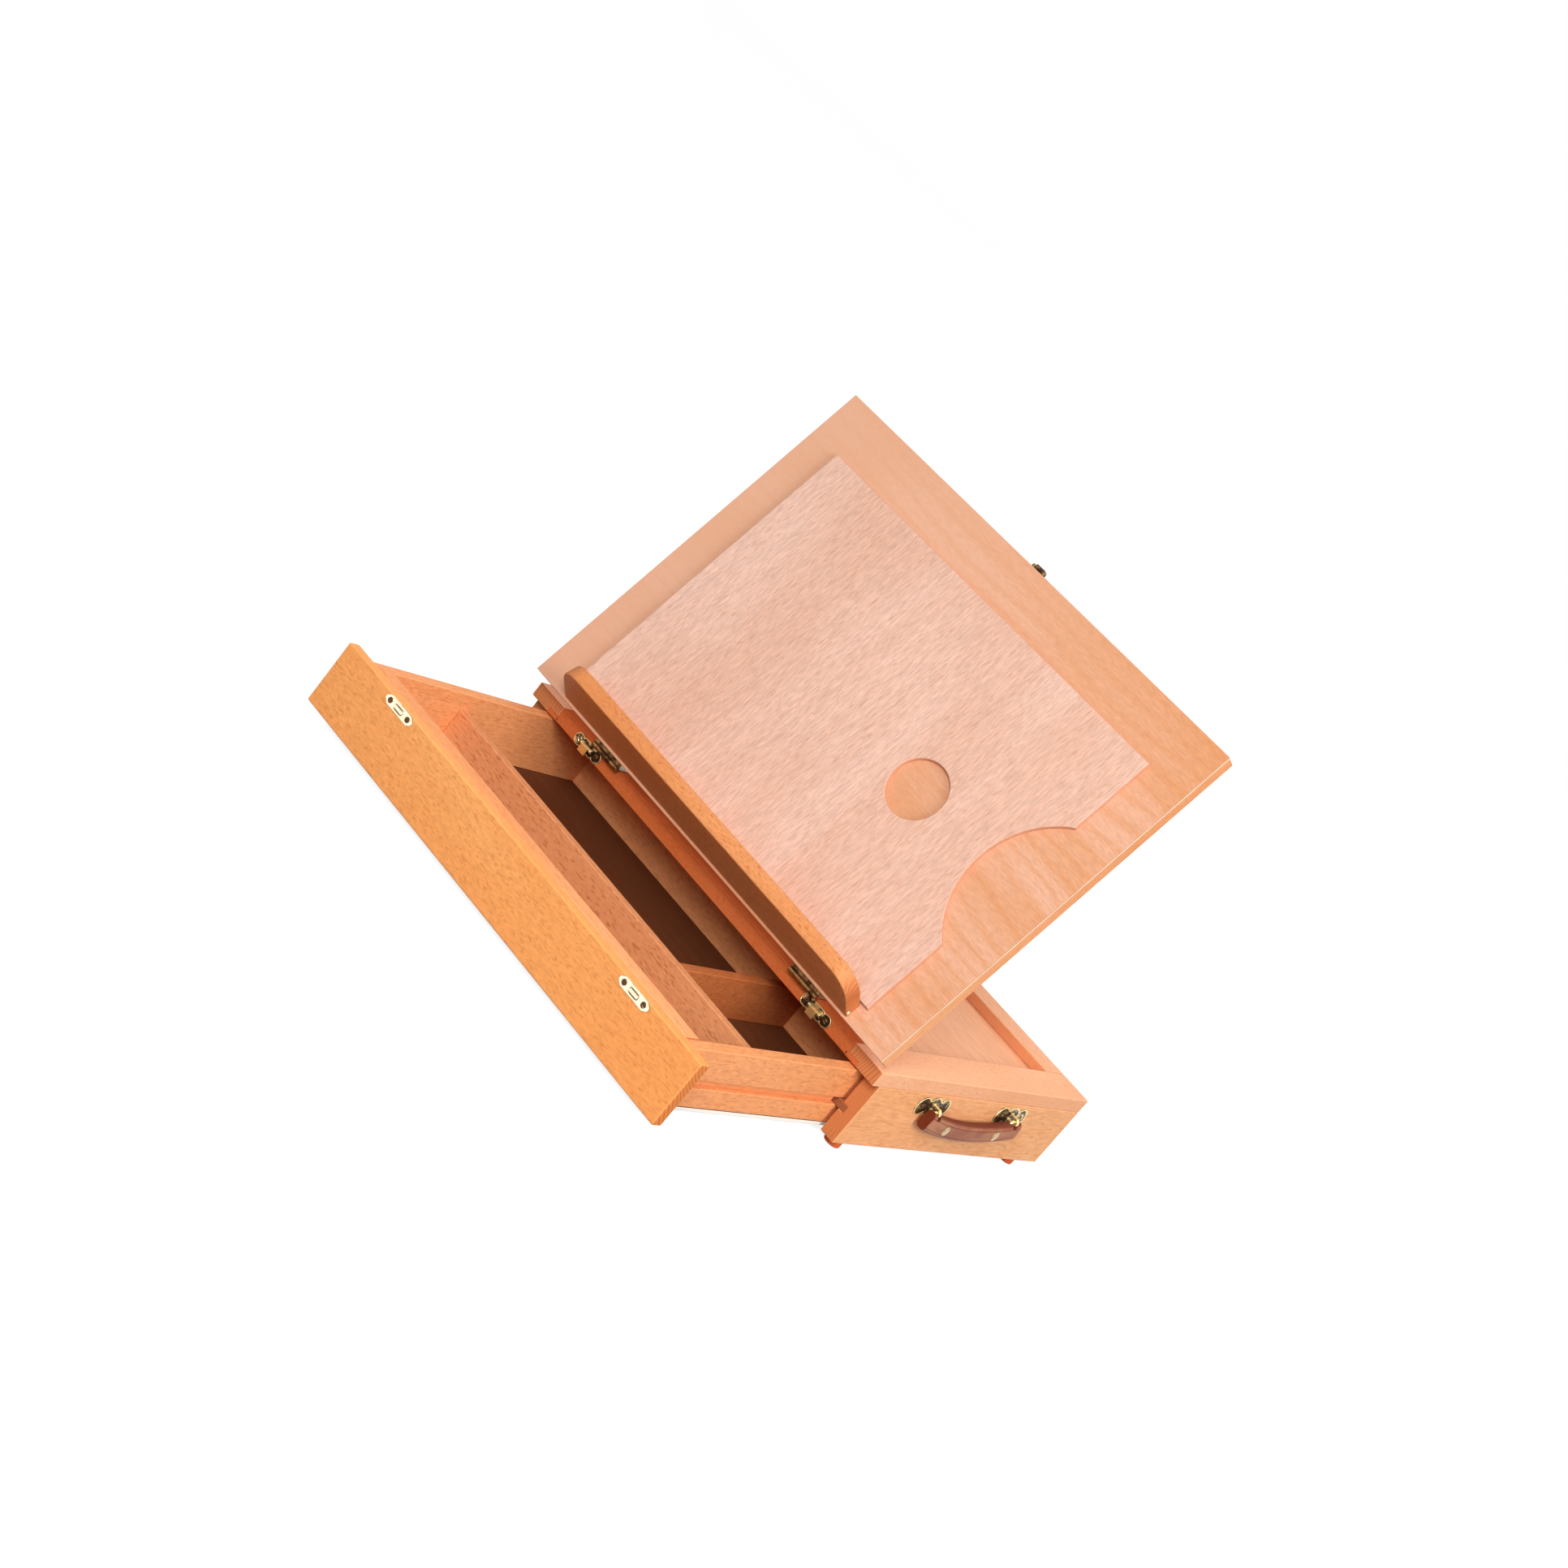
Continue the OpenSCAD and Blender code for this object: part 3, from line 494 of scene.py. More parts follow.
# A box with rounded edges: each point of a box's faces is moved to ease from a smaller inner box;
# a row at 0.586 of ease puts the middle of the rounded edge at 22.5 degrees
def easedBox(low, high, ease):
    low, high = np.asarray(low), np.asarray(high)
    middle, half = (low + high) / 2, (high - low) / 2
    ease = min(ease, 0.4 * half.min())
    near = np.array([0, 0.586, 1.0]) * ease
    stations = [np.concatenate([near - h, (h - near)[::-1]]) for h in half]
    shells = []
    for axis in range(3):
        b, c = (axis + 1) % 3, (axis + 2) % 3
        gridB, gridC = np.meshgrid(stations[b], stations[c], indexing="ij")
        for side in (-1, 1):
            points = np.empty(gridB.shape + (3,))
            points[..., axis] = side * half[axis]
            points[..., b], points[..., c] = gridB, gridC
            inner = np.clip(points, ease - half, half - ease)
            away = points - inner
            away /= np.linalg.norm(away, axis=-1, keepdims=True)
            shells.append(gridShell(middle + inner + ease * away))
    return shells


# The outward normal of each edge of an outline
def edgeNormals(way):
    return np.stack([way[:, 1], -way[:, 0]], 1) / np.linalg.norm(way, axis=1)[:, None]


# A closed outline whose outer corners are rounded with arcs of radius ease
def easedOutline(corners, ease):
    corners = np.asarray(corners, float)
    before = corners - np.roll(corners, 1, 0)
    after = np.roll(corners, -1, 0) - corners
    normal1, normal2 = edgeNormals(before), edgeNormals(after)
    outer = before[:, 0] * after[:, 1] - before[:, 1] * after[:, 0] > 0
    radius = np.where(outer, ease, 0.0)[:, None]
    centre = corners - (normal1 + normal2) * radius / (1 + (normal1 * normal2).sum(1))[:, None]
    angle = np.arctan2(normal1[:, 1], normal1[:, 0])[:, None]
    sweep = np.arctan2(normal2[:, 1], normal2[:, 0])[:, None] - angle
    sweep = (sweep + math.pi) % (2 * math.pi) - math.pi
    angles = angle + sweep * np.linspace(0, 1, 4)
    points = centre[:, None] + radius[:, None] * np.stack([np.cos(angles), np.sin(angles)], -1)
    points = points.reshape(-1, 2)
    return points[np.linalg.norm(points - np.roll(points, 1, 0), axis=1) > 1e-8]


# The outline moved inwards by inset, with mitred corners
def insetOutline(outline, inset):
    normal = edgeNormals(np.roll(outline, -1, 0) - outline)
    before = np.roll(normal, 1, 0)
    mitre = (normal + before) / (1 + (normal * before).sum(1))[:, None]
    return outline - inset * mitre


# Points on an arc: the centre plus the radius times each angle's cosine and sine
def arcPoints(centre, radius, first, last, count):
    angle = np.radians(np.linspace(first, last, count))
    return np.asarray(centre) + radius * np.stack([np.cos(angle), np.sin(angle)], 1)


# An outline carried along an axis through stations of (place, inset)
def carriedOutline(outline, axis, stations):
    across = [other for other in range(3) if other != axis]
    rings = np.empty((len(stations), len(outline), 3))
    for ring, (place, inset) in zip(rings, stations):
        ring[:, axis] = place
        ring[:, across] = insetOutline(outline, inset)
    return rings


# Stations from low to high with rounded ends
def easedEnds(low, high, ease):
    quarter = np.radians([0, 30, 60, 90])
    back, inset = ease * (1 - np.cos(quarter)), ease * (1 - np.sin(quarter))
    starts = [(low + b, i) for b, i in zip(back, inset)]
    ends = [(high - b, i) for b, i in zip(back, inset)][::-1]
    return starts + ends


# The corner arcs are a little larger than the rounded ends, so an inset outline never crosses itself
def boardOutline(corners, ease):
    return easedOutline(corners, 1.1 * ease)


def carriedBoard(corners, axis, low, high, ease):
    return [loftShell(carriedOutline(boardOutline(corners, ease), axis, easedEnds(low, high, ease)))]


# A profile of (radius, height) turned round an axis through the centre
def turnedShell(profile, axis, centre, steps=32):
    profile = np.asarray(profile, float)
    angle = np.linspace(0, 2 * math.pi, steps, endpoint=False)
    points = np.empty((len(profile), steps, 3))
    points[..., axis] = profile[:, 1:2]
    points[..., (axis + 1) % 3] = profile[:, :1] * np.cos(angle)
    points[..., (axis + 2) % 3] = profile[:, :1] * np.sin(angle)
    return gridShell(points + np.asarray(centre), closeV=True)


# A rod with rounded ends along an axis
def easedRod(radius, low, high, axis, centre, ease):
    profile = [(radius - inset, place) for place, inset in easedEnds(low, high, ease)]
    return turnedShell([(0, low)] + profile + [(0, high)], axis, centre, 28)


# A round wire along a path; the path's own normal keeps the wire from twisting
def wireShell(path, radius, normal, closed=False, steps=12):
    way = np.roll(path, -1, 0) - np.roll(path, 1, 0)
    if not closed:
        way[0], way[-1] = path[1] - path[0], path[-1] - path[-2]
    way /= np.linalg.norm(way, axis=1)[:, None]
    side = np.cross(way, normal)
    side /= np.linalg.norm(side, axis=1)[:, None]
    angle = np.linspace(0, 2 * math.pi, steps, endpoint=False)
    rings = (path[:, None] + radius * (np.cos(angle)[None, :, None] * side[:, None]
                                       + np.sin(angle)[None, :, None] * np.asarray(normal, float)))
    return gridShell(rings, closeU=True, closeV=True) if closed else loftShell(rings)


# Moves shells by a turn and a shift
def placed(shells, turn, shift):
    return [(points @ np.asarray(turn).T + np.asarray(shift), faces) for points, faces in shells]


def smoothstep(low, high, values):
    share = np.clip((values - low) / (high - low), 0, 1)
    return share * share * (3 - 2 * share)


# Edge masks: a number for each point from its place and its normal

def roundedEdges(place, normal):
    return smoothstep(0.02, 0.2, 1 - normal.max(1))


def evenMask(value):
    return lambda place, normal: np.full(len(place), value)


grainOrders = {0: (0, 1, 2), 1: (1, 0, 2), 2: (2, 0, 1)}
materialKinds = {"brass": "metal", "leather": "leather"}
boardCount = 0


# Where a board lies from its tree's heart, so that no two boards in a row show the same rings
def heartPlace(sheet):
    depth = 0 if sheet else 0.03 + 0.009 * (boardCount % 5)
    return 0.37 * boardCount, 0.018 + 0.011 * (boardCount % 4), depth


# Builds a node's mesh, stores its grain coordinates and masks, and ties it to its body
def makePiece(node, shells, body, slotName, axes=flatAxes, grain=0, edgeMask=roundedEdges,
              grainPoints=None, sharp=42, finish=None):
    global boardCount
    boardCount += 1
    start, turn = axes
    name = node + "_" + materialKinds.get(slotName.split("_")[-1], "wood")
    points, faces, offset = [], [], 0
    for shellPoints, shellFaces in shells:
        points.append(shellPoints)
        faces += [[corner + offset for corner in face] for face in shellFaces]
        offset += len(shellPoints)
    mesh = bpy.data.meshes.new(name)
    mesh.from_pydata((np.concatenate(points) @ turn.T + start).tolist(), [], faces)
    welded = bmesh.new()
    welded.from_mesh(mesh)
    bmesh.ops.remove_doubles(welded, verts=welded.verts, dist=touching)
    bmesh.ops.recalc_face_normals(welded, faces=welded.faces)
    welded.to_mesh(mesh)
    welded.free()
    mesh.shade_smooth()
    mesh.set_sharp_from_angle(angle=math.radians(sharp))
    count = len(mesh.vertices)
    place, normal = np.empty(count * 3), np.empty(count * 3)
    mesh.vertices.foreach_get("co", place)
    mesh.vertex_normals.foreach_get("vector", normal)
    place = (place.reshape(-1, 3) - start) @ turn
    normal = np.abs(normal.reshape(-1, 3) @ turn)
    sheet = slotName in plyLooks
    middle = (place.min(0) + place.max(0)) / 2
    if grainPoints is None:
        coordinates = (place - middle)[:, grainOrders[grain]] + heartPlace(sheet)
    else:
        coordinates = grainPoints(place)
    ends = smoothstep(0.45, 0.8, 1 - normal[:, 2] if sheet else normal[:, grain])
    for label, kind, field, values in (("grain", "FLOAT_VECTOR", "vector", coordinates),
                                       ("ends", "FLOAT", "value", ends),
                                       ("edge", "FLOAT", "value", edgeMask(place, normal))):
        layer = mesh.attributes.new(label, kind, "POINT")
        layer.data.foreach_set(field, np.ascontiguousarray(values, np.float32).ravel())
    mesh.materials.append(finishes[finish or slotName])
    piece = addObject(name, mesh)
    piece.modifiers.new("evenNormals", "WEIGHTED_NORMAL").keep_sharp = True
    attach(piece, body)
    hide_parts(node)


# Plain boards

plainBoards = {  # node: body, finish, grain axis, rounded edge in mm
    "case_back": ("case", "case_wood", 0, 0.7),
    "runner_left": ("case", "runner_wood", 1, 0.3),
    "runner_right": ("case", "runner_wood", 1, 0.3),
    "drawer_front": ("drawer", "front_wood", 0, 1.3),
    "drawer_inner_front": ("drawer", "drawer_wood", 0, 0.7),
    "drawer_back": ("drawer", "drawer_wood", 0, 0.7),
    "drawer_bottom": ("drawer", "thin_ply", 0, 0.25),
    "long_divider": ("drawer", "divider_wood", 0, 0.7),
    "cross_divider": ("drawer", "divider_wood", 1, 0.7),
    "panel_board": ("panel", "panel_ply", 0, 0.4),
    "panel_frame_left": ("panel", "frame_wood", 1, 0.7),
    "panel_frame_right": ("panel", "frame_wood", 1, 0.7),
    "panel_frame_top": ("panel", "frame_wood", 0, 0.7),
}


# The panel's board is paler towards its left edge
palerPanel = {"amount": 2.6, "from": -60 * mm, "to": -210 * mm}


def palerLeft(place, normal):
    return palerPanel["amount"] * smoothstep(palerPanel["from"], palerPanel["to"], place[:, 0])


def makePlainBoards():
    for name, (body, slotName, grain, ease) in plainBoards.items():
        axes = panelAxes if body == "panel" else flatAxes
        makePiece(name, easedBox(*localBox(name, axes), ease * mm), body, slotName, axes, grain,
                  palerLeft if name == "panel_board" else roundedEdges,
                  finish="cross_wood" if name == "cross_divider" else None)


makePlainBoards()
print("plain boards made:", len(plainBoards))


# Case sides, with the runner's groove; the groove is shut behind the back board's face

caseSide = {"ease": 0.8 * mm}


def makeCaseSide(side, name, runner):
    low, high = localBox(name)
    runnerLow, runnerHigh = localBox(runner)
    inner, outer = outwards(name, side)
    bed, stop, ease = outwards(runner, side)[1], runnerHigh[1], caseSide["ease"]
    corners = [(inner, low[2]), (outer, low[2]), (outer, high[2]), (inner, high[2]),
               (inner, runnerHigh[2]), (bed, runnerHigh[2]), (bed, runnerLow[2]), (inner, runnerLow[2])]
    outline = boardOutline(corners[::side], ease)
    stations = easedEnds(low[1], high[1], ease)
    grooved = carriedOutline(outline, 1, stations[:4] + [(stop, 0)])
    shut = carriedOutline(outline, 1, [(stop, 0)] + stations[4:])
    inGroove = (shut[..., 2] > runnerLow[2] - touching) & (shut[..., 2] < runnerHigh[2] + touching)
    inGroove &= np.abs(shut[..., 0] - outer) > 2 * ease
    shut[..., 0] = np.where(inGroove, inner, shut[..., 0])
    makePiece(name, [loftShell(np.concatenate([grooved, shut]))], "case", "case_wood", grain=1)


makeCaseSide(-1, "case_side_left", "runner_left")
makeCaseSide(1, "case_side_right", "runner_right")


# Top frame: rails with a rabbet underneath; the end rails have tongues that reach into it

topFrame = {"ease": 0.8 * mm, "tongueEase": 0.4 * mm, "tongueLap": 2 * mm, "wallShade": 0.6,
            "wallReach": 0.3 * mm, "wallFoot": 0.1 * mm}


def makeSideRail(side, name):
    low, high = localBox(name)
    inner, outer = outwards(name, side)
    step, shelf = outwards("deck_board", side)[1], localBox("deck_board")[1][2]
    corners = [(inner, shelf), (step, shelf), (step, low[2]), (outer, low[2]),
               (outer, high[2]), (inner, high[2])]
    makePiece(name, carriedBoard(corners[::side], 1, low[1], high[1], topFrame["ease"]),
              "case", "rail_wood", grain=1)


def makeEndRail(side, name):
    low, high = localBox(name)
    half = localBox("top_rail_right")[0][0]
    inner, outer = outwards(name, side, 1)
    step, shelf = outwards("deck_board", side, 1)[1], localBox("deck_board")[1][2]
    corners = [(outer, low[2]), (step, low[2]), (step, shelf), (inner, shelf),
               (inner, high[2]), (outer, high[2])]
    shells = carriedBoard(corners[::-side], 0, -half, half, topFrame["ease"])
    for end in (-1, 1):
        reach = sorted((end * (half - topFrame["tongueLap"]), end * high[0]))
        depth = sorted((outer, step))
        shells += easedBox((reach[0], depth[0], low[2]), (reach[1], depth[1], shelf),
                           topFrame["tongueEase"])

    # painted shade: the rear rail's wall above the deck is darkened where the panel shades it
    def paintedRecessShade(place, normal):
        onWall = np.abs(place[:, 1] - inner) < topFrame["wallReach"]
        onWall &= (place[:, 2] > shelf - topFrame["wallFoot"]) & (side > 0)
        return np.where(onWall, -topFrame["wallShade"], roundedEdges(place, normal))

    # the front rail's finish is a darker copy of the rail wood, as painted shade
    makePiece(name, shells, "case", "rail_wood", edgeMask=paintedRecessShade,
              finish="front_rail_painted_shade" if side < 0 else None)


makeSideRail(-1, "top_rail_left")
makeSideRail(1, "top_rail_right")
makeEndRail(-1, "top_rail_front")
makeEndRail(1, "top_rail_rear")
print("case and top frame made")


# Drawer sides, with the groove that slides on the runner

drawerSide = {"ease": 0.7 * mm, "grooveGap": 0.5 * mm}


def makeDrawerSide(side, name, runner):
    low, high = localBox(name)
    runnerLow, runnerHigh = localBox(runner)
    gap = drawerSide["grooveGap"]
    inner, outer = outwards(name, side)
    bed = outwards(runner, side)[0] - side * gap
    bottom, top = runnerLow[2] - gap, runnerHigh[2] + gap
    corners = [(inner, low[2]), (outer, low[2]), (outer, bottom), (bed, bottom),
               (bed, top), (outer, top), (outer, high[2]), (inner, high[2])]
    makePiece(name, carriedBoard(corners[::side], 1, low[1], high[1], drawerSide["ease"]),
              "drawer", "drawer_wood", grain=1)


makeDrawerSide(-1, "drawer_side_left", "runner_left")
makeDrawerSide(1, "drawer_side_right", "runner_right")
print("drawer made")


# Canvas ledge: a board with two round corners, cut to lie on the panel's face

ledge = {"angle": 70, "thick": 12 * mm, "cornerRadius": 18 * mm, "ease": 1.2 * mm}


def makeLedge():
    face = localBox("panel_board", panelAxes)[1][2]
    low, high = localBox("canvas_ledge", panelAxes)
    start, turn = panelAxes
    points = (nodePoints("canvas_ledge") - start) @ turn
    onFace = points[np.abs(points[:, 2] - face) < 10 * touching]
    foot = np.array([(low[0] + high[0]) / 2, onFace[:, 1].min(), face])
    axes = (start + turn @ foot, turn @ turnX(ledge["angle"]))
    half, depth = (high[0] - low[0]) / 2, localBox("canvas_ledge", axes)[1][1]
    radius = ledge["cornerRadius"]
    right = arcPoints((half - radius, depth - radius), radius, 0, 90, 10)
    left = right[::-1] * (-1, 1)
    heel = -ledge["thick"]
    outline = np.concatenate([[(-half, heel), (half, heel)], right, left])
    rings = carriedOutline(outline, 2, easedEnds(-ledge["thick"], 0, ledge["ease"]))
    back = -rings[..., 2] / math.tan(math.radians(ledge["angle"]))
    rings[..., 1] = np.maximum(rings[..., 1], back)
    makePiece("canvas_ledge", [loftShell(rings)], "panel", "ledge_wood", axes)


makeLedge()


# Palette: each line runs from the thumb hole to the outer edge, which the scoop cuts into

palette = {"thumbRadius": 23 * mm, "scoopRadius": 71.6 * mm, "scoopOut": 40.7 * mm, "thumbIn": 100 * mm,
           "ease": 0.5 * mm}


def makePalette():
    low, high = localBox("palette", panelAxes)
    hub = np.array([high[0] - palette["thumbIn"], (low[1] + high[1]) / 2])
    lowX, highX, lowY, highY = low[0] - hub[0], high[0] - hub[0], low[1] - hub[1], high[1] - hub[1]
    scoopX, scoopR = highX + palette["scoopOut"], palette["scoopRadius"]
    lip = math.sqrt(scoopR ** 2 - palette["scoopOut"] ** 2)
    special = [math.atan2(y, x) for x in (lowX, highX) for y in (lowY, highY)]
    special += [math.atan2(y, highX) for y in (-lip, lip)]
    bow = np.linspace(-math.asin(lip / scoopR), math.asin(lip / scoopR), 41)
    special += list(np.arctan2(scoopR * np.sin(bow), scoopX - scoopR * np.cos(bow)))
    angle = np.unique(np.round(np.concatenate([special, np.linspace(-math.pi, math.pi, 97)[:-1]]), 6))
    c, s = np.cos(angle), np.sin(angle)
    # distance from the hub to the rectangle, and to the scoop's circle where the line meets it
    toX = np.where(c > 0, highX, lowX) / np.where(np.abs(c) < 1e-9, 1e-9, c)
    toY = np.where(s > 0, highY, lowY) / np.where(np.abs(s) < 1e-9, 1e-9, s)
    reach = np.minimum(np.abs(toX), np.abs(toY))
    inside = (scoopX * c) ** 2 - scoopX ** 2 + scoopR ** 2
    toScoop = scoopX * c - np.sqrt(np.maximum(inside, 0))
    reach = np.where((inside > 0) & (c > 0) & (toScoop < reach), toScoop, reach)
    outer = np.stack([reach * c, reach * s], 1)
    hole = palette["thumbRadius"] * np.stack([c, s], 1)
    ease = palette["ease"]
    outerIn = insetOutline(outer, ease)
    holeOut = hole * (1 + ease / palette["thumbRadius"])
    top, bottom = high[2], low[2]
    sections = [(outerIn, bottom), (outer, bottom + ease), (outer, top - ease), (outerIn, top),
                (holeOut, top), (hole, top - ease), (hole, bottom + ease), (holeOut, bottom)]
    points = np.stack([np.concatenate([flat + hub, np.full((len(flat), 1), height)], 1)
                       for flat, height in sections])
    makePiece("palette", [gridShell(points, closeU=True, closeV=True)], "palette", "palette_ply",
              panelAxes, grain=1)


makePalette()
print("ledge and palette made")


# Prop behind the panel: round-ended legs, a crossbar and a foot bar

prop = {"ease": 0.8 * mm}


def makeProp():
    for name in ("prop_leg_left", "prop_leg_right"):
        low, high = localBox(name, propAxes)
        radius = (high[2] - low[2]) / 2
        outline = np.concatenate([arcPoints((high[1] - radius, 0), radius, -90, 90, 13),
                                  arcPoints((low[1] + radius, 0), radius, 90, 270, 13)])
        rings = carriedOutline(outline, 0, easedEnds(low[0], high[0], prop["ease"]))
        makePiece(name, [loftShell(rings)], "prop", "prop_wood", propAxes, grain=1)
    for name in ("prop_crossbar", "prop_foot_bar"):
        low, high = localBox(name, propAxes)
        centre = (0, (low[1] + high[1]) / 2, (low[2] + high[2]) / 2)
        shell = easedRod((high[2] - low[2]) / 2, low[0], high[0], 0, centre, prop["ease"])
        makePiece(name, [shell], "prop", "prop_wood", propAxes)


makeProp()


# Feet: turned, with a soft lower edge and a dished underside

feet = {"ease": 1.0 * mm, "dish": 0.6 * mm, "dishTo": 0.3, "rimFrom": 0.45}


def makeFeet():
    shells = []
    for _, low, high in sideBoxes(nodePoints("feet"), fourCorners):
        radius, centre, ease = (high[0] - low[0]) / 2, (low + high) / 2, feet["ease"]
        profile = [(0, feet["dish"]), (radius * feet["dishTo"], feet["dish"]),
                   (radius * feet["rimFrom"], 0), *arcPoints((radius - ease, ease), ease, -90, 0, 4),
                   (radius, high[2]), (0, high[2])]
        shells.append(turnedShell(profile, 2, (centre[0], centre[1], 0)))
    makePiece("feet", shells, "case", "foot_wood", grain=2)


makeFeet()
print("prop and feet made")


# Clasps: a scalloped plate with two ears, a hook that turns between them, and slotted screws

clasp = {"thick": 0.8 * mm, "rim": 0.7 * mm, "lobe": 5.0 * mm, "screwAt": 10.5 * mm, "waist": 0.6,
         "shoulder": (7.8 * mm, 6.6 * mm), "ear": 2.4 * mm, "earGap": 0.25 * mm, "earTall": 0.9,
         "earFoot": 0.3 * mm, "earEase": 0.25 * mm, "barrel": 1.6 * mm, "barrelGap": 0.1 * mm,
         "pin": 0.8 * mm, "pinEase": 0.15 * mm, "curl": 1.1 * mm, "tip": 0.3 * mm,
         "tipBack": 0.25 * mm, "ease": 0.2 * mm, "rub": 0.6, "border": (1.6 * mm, 0.5 * mm),
         "fieldRub": 0.22}
pressedProfile = [(0, 0), (0.55, 0), (0.85, 0.12), (1, 0.4), (1, 0.75), (0.6, 1.15)]
screw = {"radius": 2.2 * mm, "rise": 0.9 * mm, "dome": 0.72, "firstTurn": 0.5, "nextTurn": 1.3,
         "slotHalf": 0.30, "slotWall": 0.14, "slotDepth": 0.6, "slotFade": 0.55, "rub": 0.55,
         "dull": 0.15}


# The axes of a plate on a wall: x along the wall, -y away from it, z up the wall
def wallAxes(name, facing, base=flatAxes):
    start, turn = base
    low, high = localBox(name, base)
    middle = (low + high) / 2
    wall = {0: (middle[0], high[1], middle[2]), 90: (low[0], middle[1], middle[2]),
            180: (middle[0], low[1], middle[2])}[facing]
    return start + turn @ np.array(wall), turn @ turnZ(facing)


# Half height of a plate along its length: two round lobes, a waist, and a block in the middle,
# which is round on a plate without a shoulder
def lobedOutline(half, height, look):
    x = half * np.sin(np.linspace(-math.pi / 2, math.pi / 2, 61))
    lobe = np.sqrt(np.maximum(look["lobe"] ** 2 - (np.abs(x) - look["screwAt"]) ** 2, 0))
    if "shoulder" in look:
        block = height * smoothstep(*look["shoulder"], np.abs(x))
    else:
        block = np.sqrt(np.maximum(height ** 2 - x ** 2, 0))
    waist = np.where(np.abs(x) < look["screwAt"], look["waist"] * height, 0)
    z = np.minimum(np.maximum(np.maximum(lobe, waist), block), height)
    z[0] = z[-1] = 0
    return np.concatenate([np.stack([x, -z], 1), np.stack([x[::-1], z[::-1]], 1)[1:-1]])


# A pressed plate, a raised rim round a lower field: the profile is in shares of thickness and rim
def pressedPlate(outline, look):
    stations = [(-depth * look["thick"], inset * look["rim"]) for depth, inset in pressedProfile]
    return [loftShell(carriedOutline(outline, 1, stations))]


# Bright where the plate stands proud: the field stays dark, and so do the parts above the plate
def rubbedRim(look, plate, above):
    def mask(place, normal):
        share = -place[:, 1] / look["thick"]
        return smoothstep(0.62, 0.98, share) * np.where(share > 1.2, above, plate)

    return mask


# A slotted, domed screw head on a disc grid, standing on height zero and facing +Z
def screwShells(slotAngle):
    line = np.linspace(-1, 1, 19)
    u, v = np.meshgrid(line, line, indexing="ij")
    x, y = u * np.sqrt(1 - v * v / 2), v * np.sqrt(1 - u * u / 2)
    across = np.abs(x * math.sin(slotAngle) - y * math.cos(slotAngle))
    slot = np.clip((screw["slotHalf"] - across) / screw["slotWall"], 0, 1)
    out = x * x + y * y
    cut = screw["slotDepth"] * slot * (1 - screw["slotFade"] * out)
    height = np.pad(screw["rise"] * (1 - screw["dome"] * out - cut), 1)
    x, y = [screw["radius"] * np.pad(side, 1, mode="edge") for side in (x, y)]
    top = np.stack([x, y, height], -1)
    return [gridShell(top), gridShell(top * (1, 1, 0))]


# Each screw's slot is turned on from the one before; the head is rubbed bright towards its edge
def makeScrews(node, body, places):
    shells = []
    for number, (axes, look) in enumerate(places):
        start, turn = axes
        for side in (-1, 1):
            head = screwShells(screw["firstTurn"] + screw["nextTurn"] * number + side)
            foot = start + turn @ np.array([side * look["screwAt"], -look["thick"], 0])
            shells += placed(head, turn @ turnX(90), foot)

    def screwRub(place, normal):
        return screw["rub"] * smoothstep(0.1, 0.5, 1 - normal.max(1)) - screw["dull"]

    makePiece(node, shells, body, "bright_brass", edgeMask=screwRub, sharp=50)


def makeClasp(name, hookName, plateBody, hookBody, joint, facing=0, base=flatAxes, rub=1.0,
              hookFinish="hook_brass", plateFinish=None):
    axes = wallAxes(name, facing, base)
    start, turn = axes
    high = localBox(name, axes)[1]
    hookLow, hookHigh = localBox(hookName, axes)
    pivotY, pivotZ = ((jointAt(joint) - start) @ turn)[1:]
    pivot = (0, pivotY, pivotZ)
    plate, barrel, ear, gap = [clasp[key] for key in ("thick", "barrel", "ear", "earGap")]
    half = hookHigh[0] - ear - gap
    tall = barrel * clasp["earTall"]
    shells = pressedPlate(lobedOutline(high[0], high[2], clasp), clasp)
    for side in (-1, 1):
        middle = side * (half + gap + ear / 2)
        shells.append(easedRod(barrel, middle - ear / 2, middle + ear / 2, 0, pivot, clasp["earEase"]))
        shells += easedBox((middle - ear / 2, pivotY, pivotZ - tall),
                           (middle + ear / 2, -clasp["earFoot"], pivotZ + tall), clasp["ease"])
    makePiece(name, shells, plateBody, "dark_brass", axes,
              edgeMask=rubbedRim(clasp, clasp["rub"], clasp["rub"]), finish=plateFinish)

    # the hook's strip leaves the barrel's top, turns down and curls out at its tip
    top, curl = barrel - clasp["barrelGap"], clasp["curl"]
    reach, drop = pivotY - hookLow[1], hookLow[2] - pivotZ
    bend = (curl - reach, top - curl)
    outline = np.concatenate([
        [(0, top)], arcPoints(bend, curl, 90, 180, 7),
        [(-reach, drop + clasp["tip"]), (clasp["tipBack"] - reach, drop), (plate - reach, drop)],
        arcPoints(bend, curl - plate, 180, 90, 7), [(0, top - plate)]]) + (pivotY, pivotZ)
    shells = [loftShell(carriedOutline(outline, 0, easedEnds(-half, half, clasp["ease"]))),
              easedRod(top, -half, half, 0, pivot, clasp["ease"]),
              easedRod(clasp["pin"], hookLow[0], hookHigh[0], 0, pivot, clasp["pinEase"])]

    # bright along the strip's borders and on top of the barrel
    def hookRub(place, normal):
        border = smoothstep(*(half - np.array(clasp["border"])), np.abs(place[:, 0]))
        strip = clasp["fieldRub"] + (1 - clasp["fieldRub"]) * border
        return rub * np.maximum(strip, smoothstep(-0.2, 0.6, place[:, 2] / barrel))

    makePiece(hookName, shells, hookBody, "dark_brass", axes, edgeMask=hookRub, finish=hookFinish)
    return axes


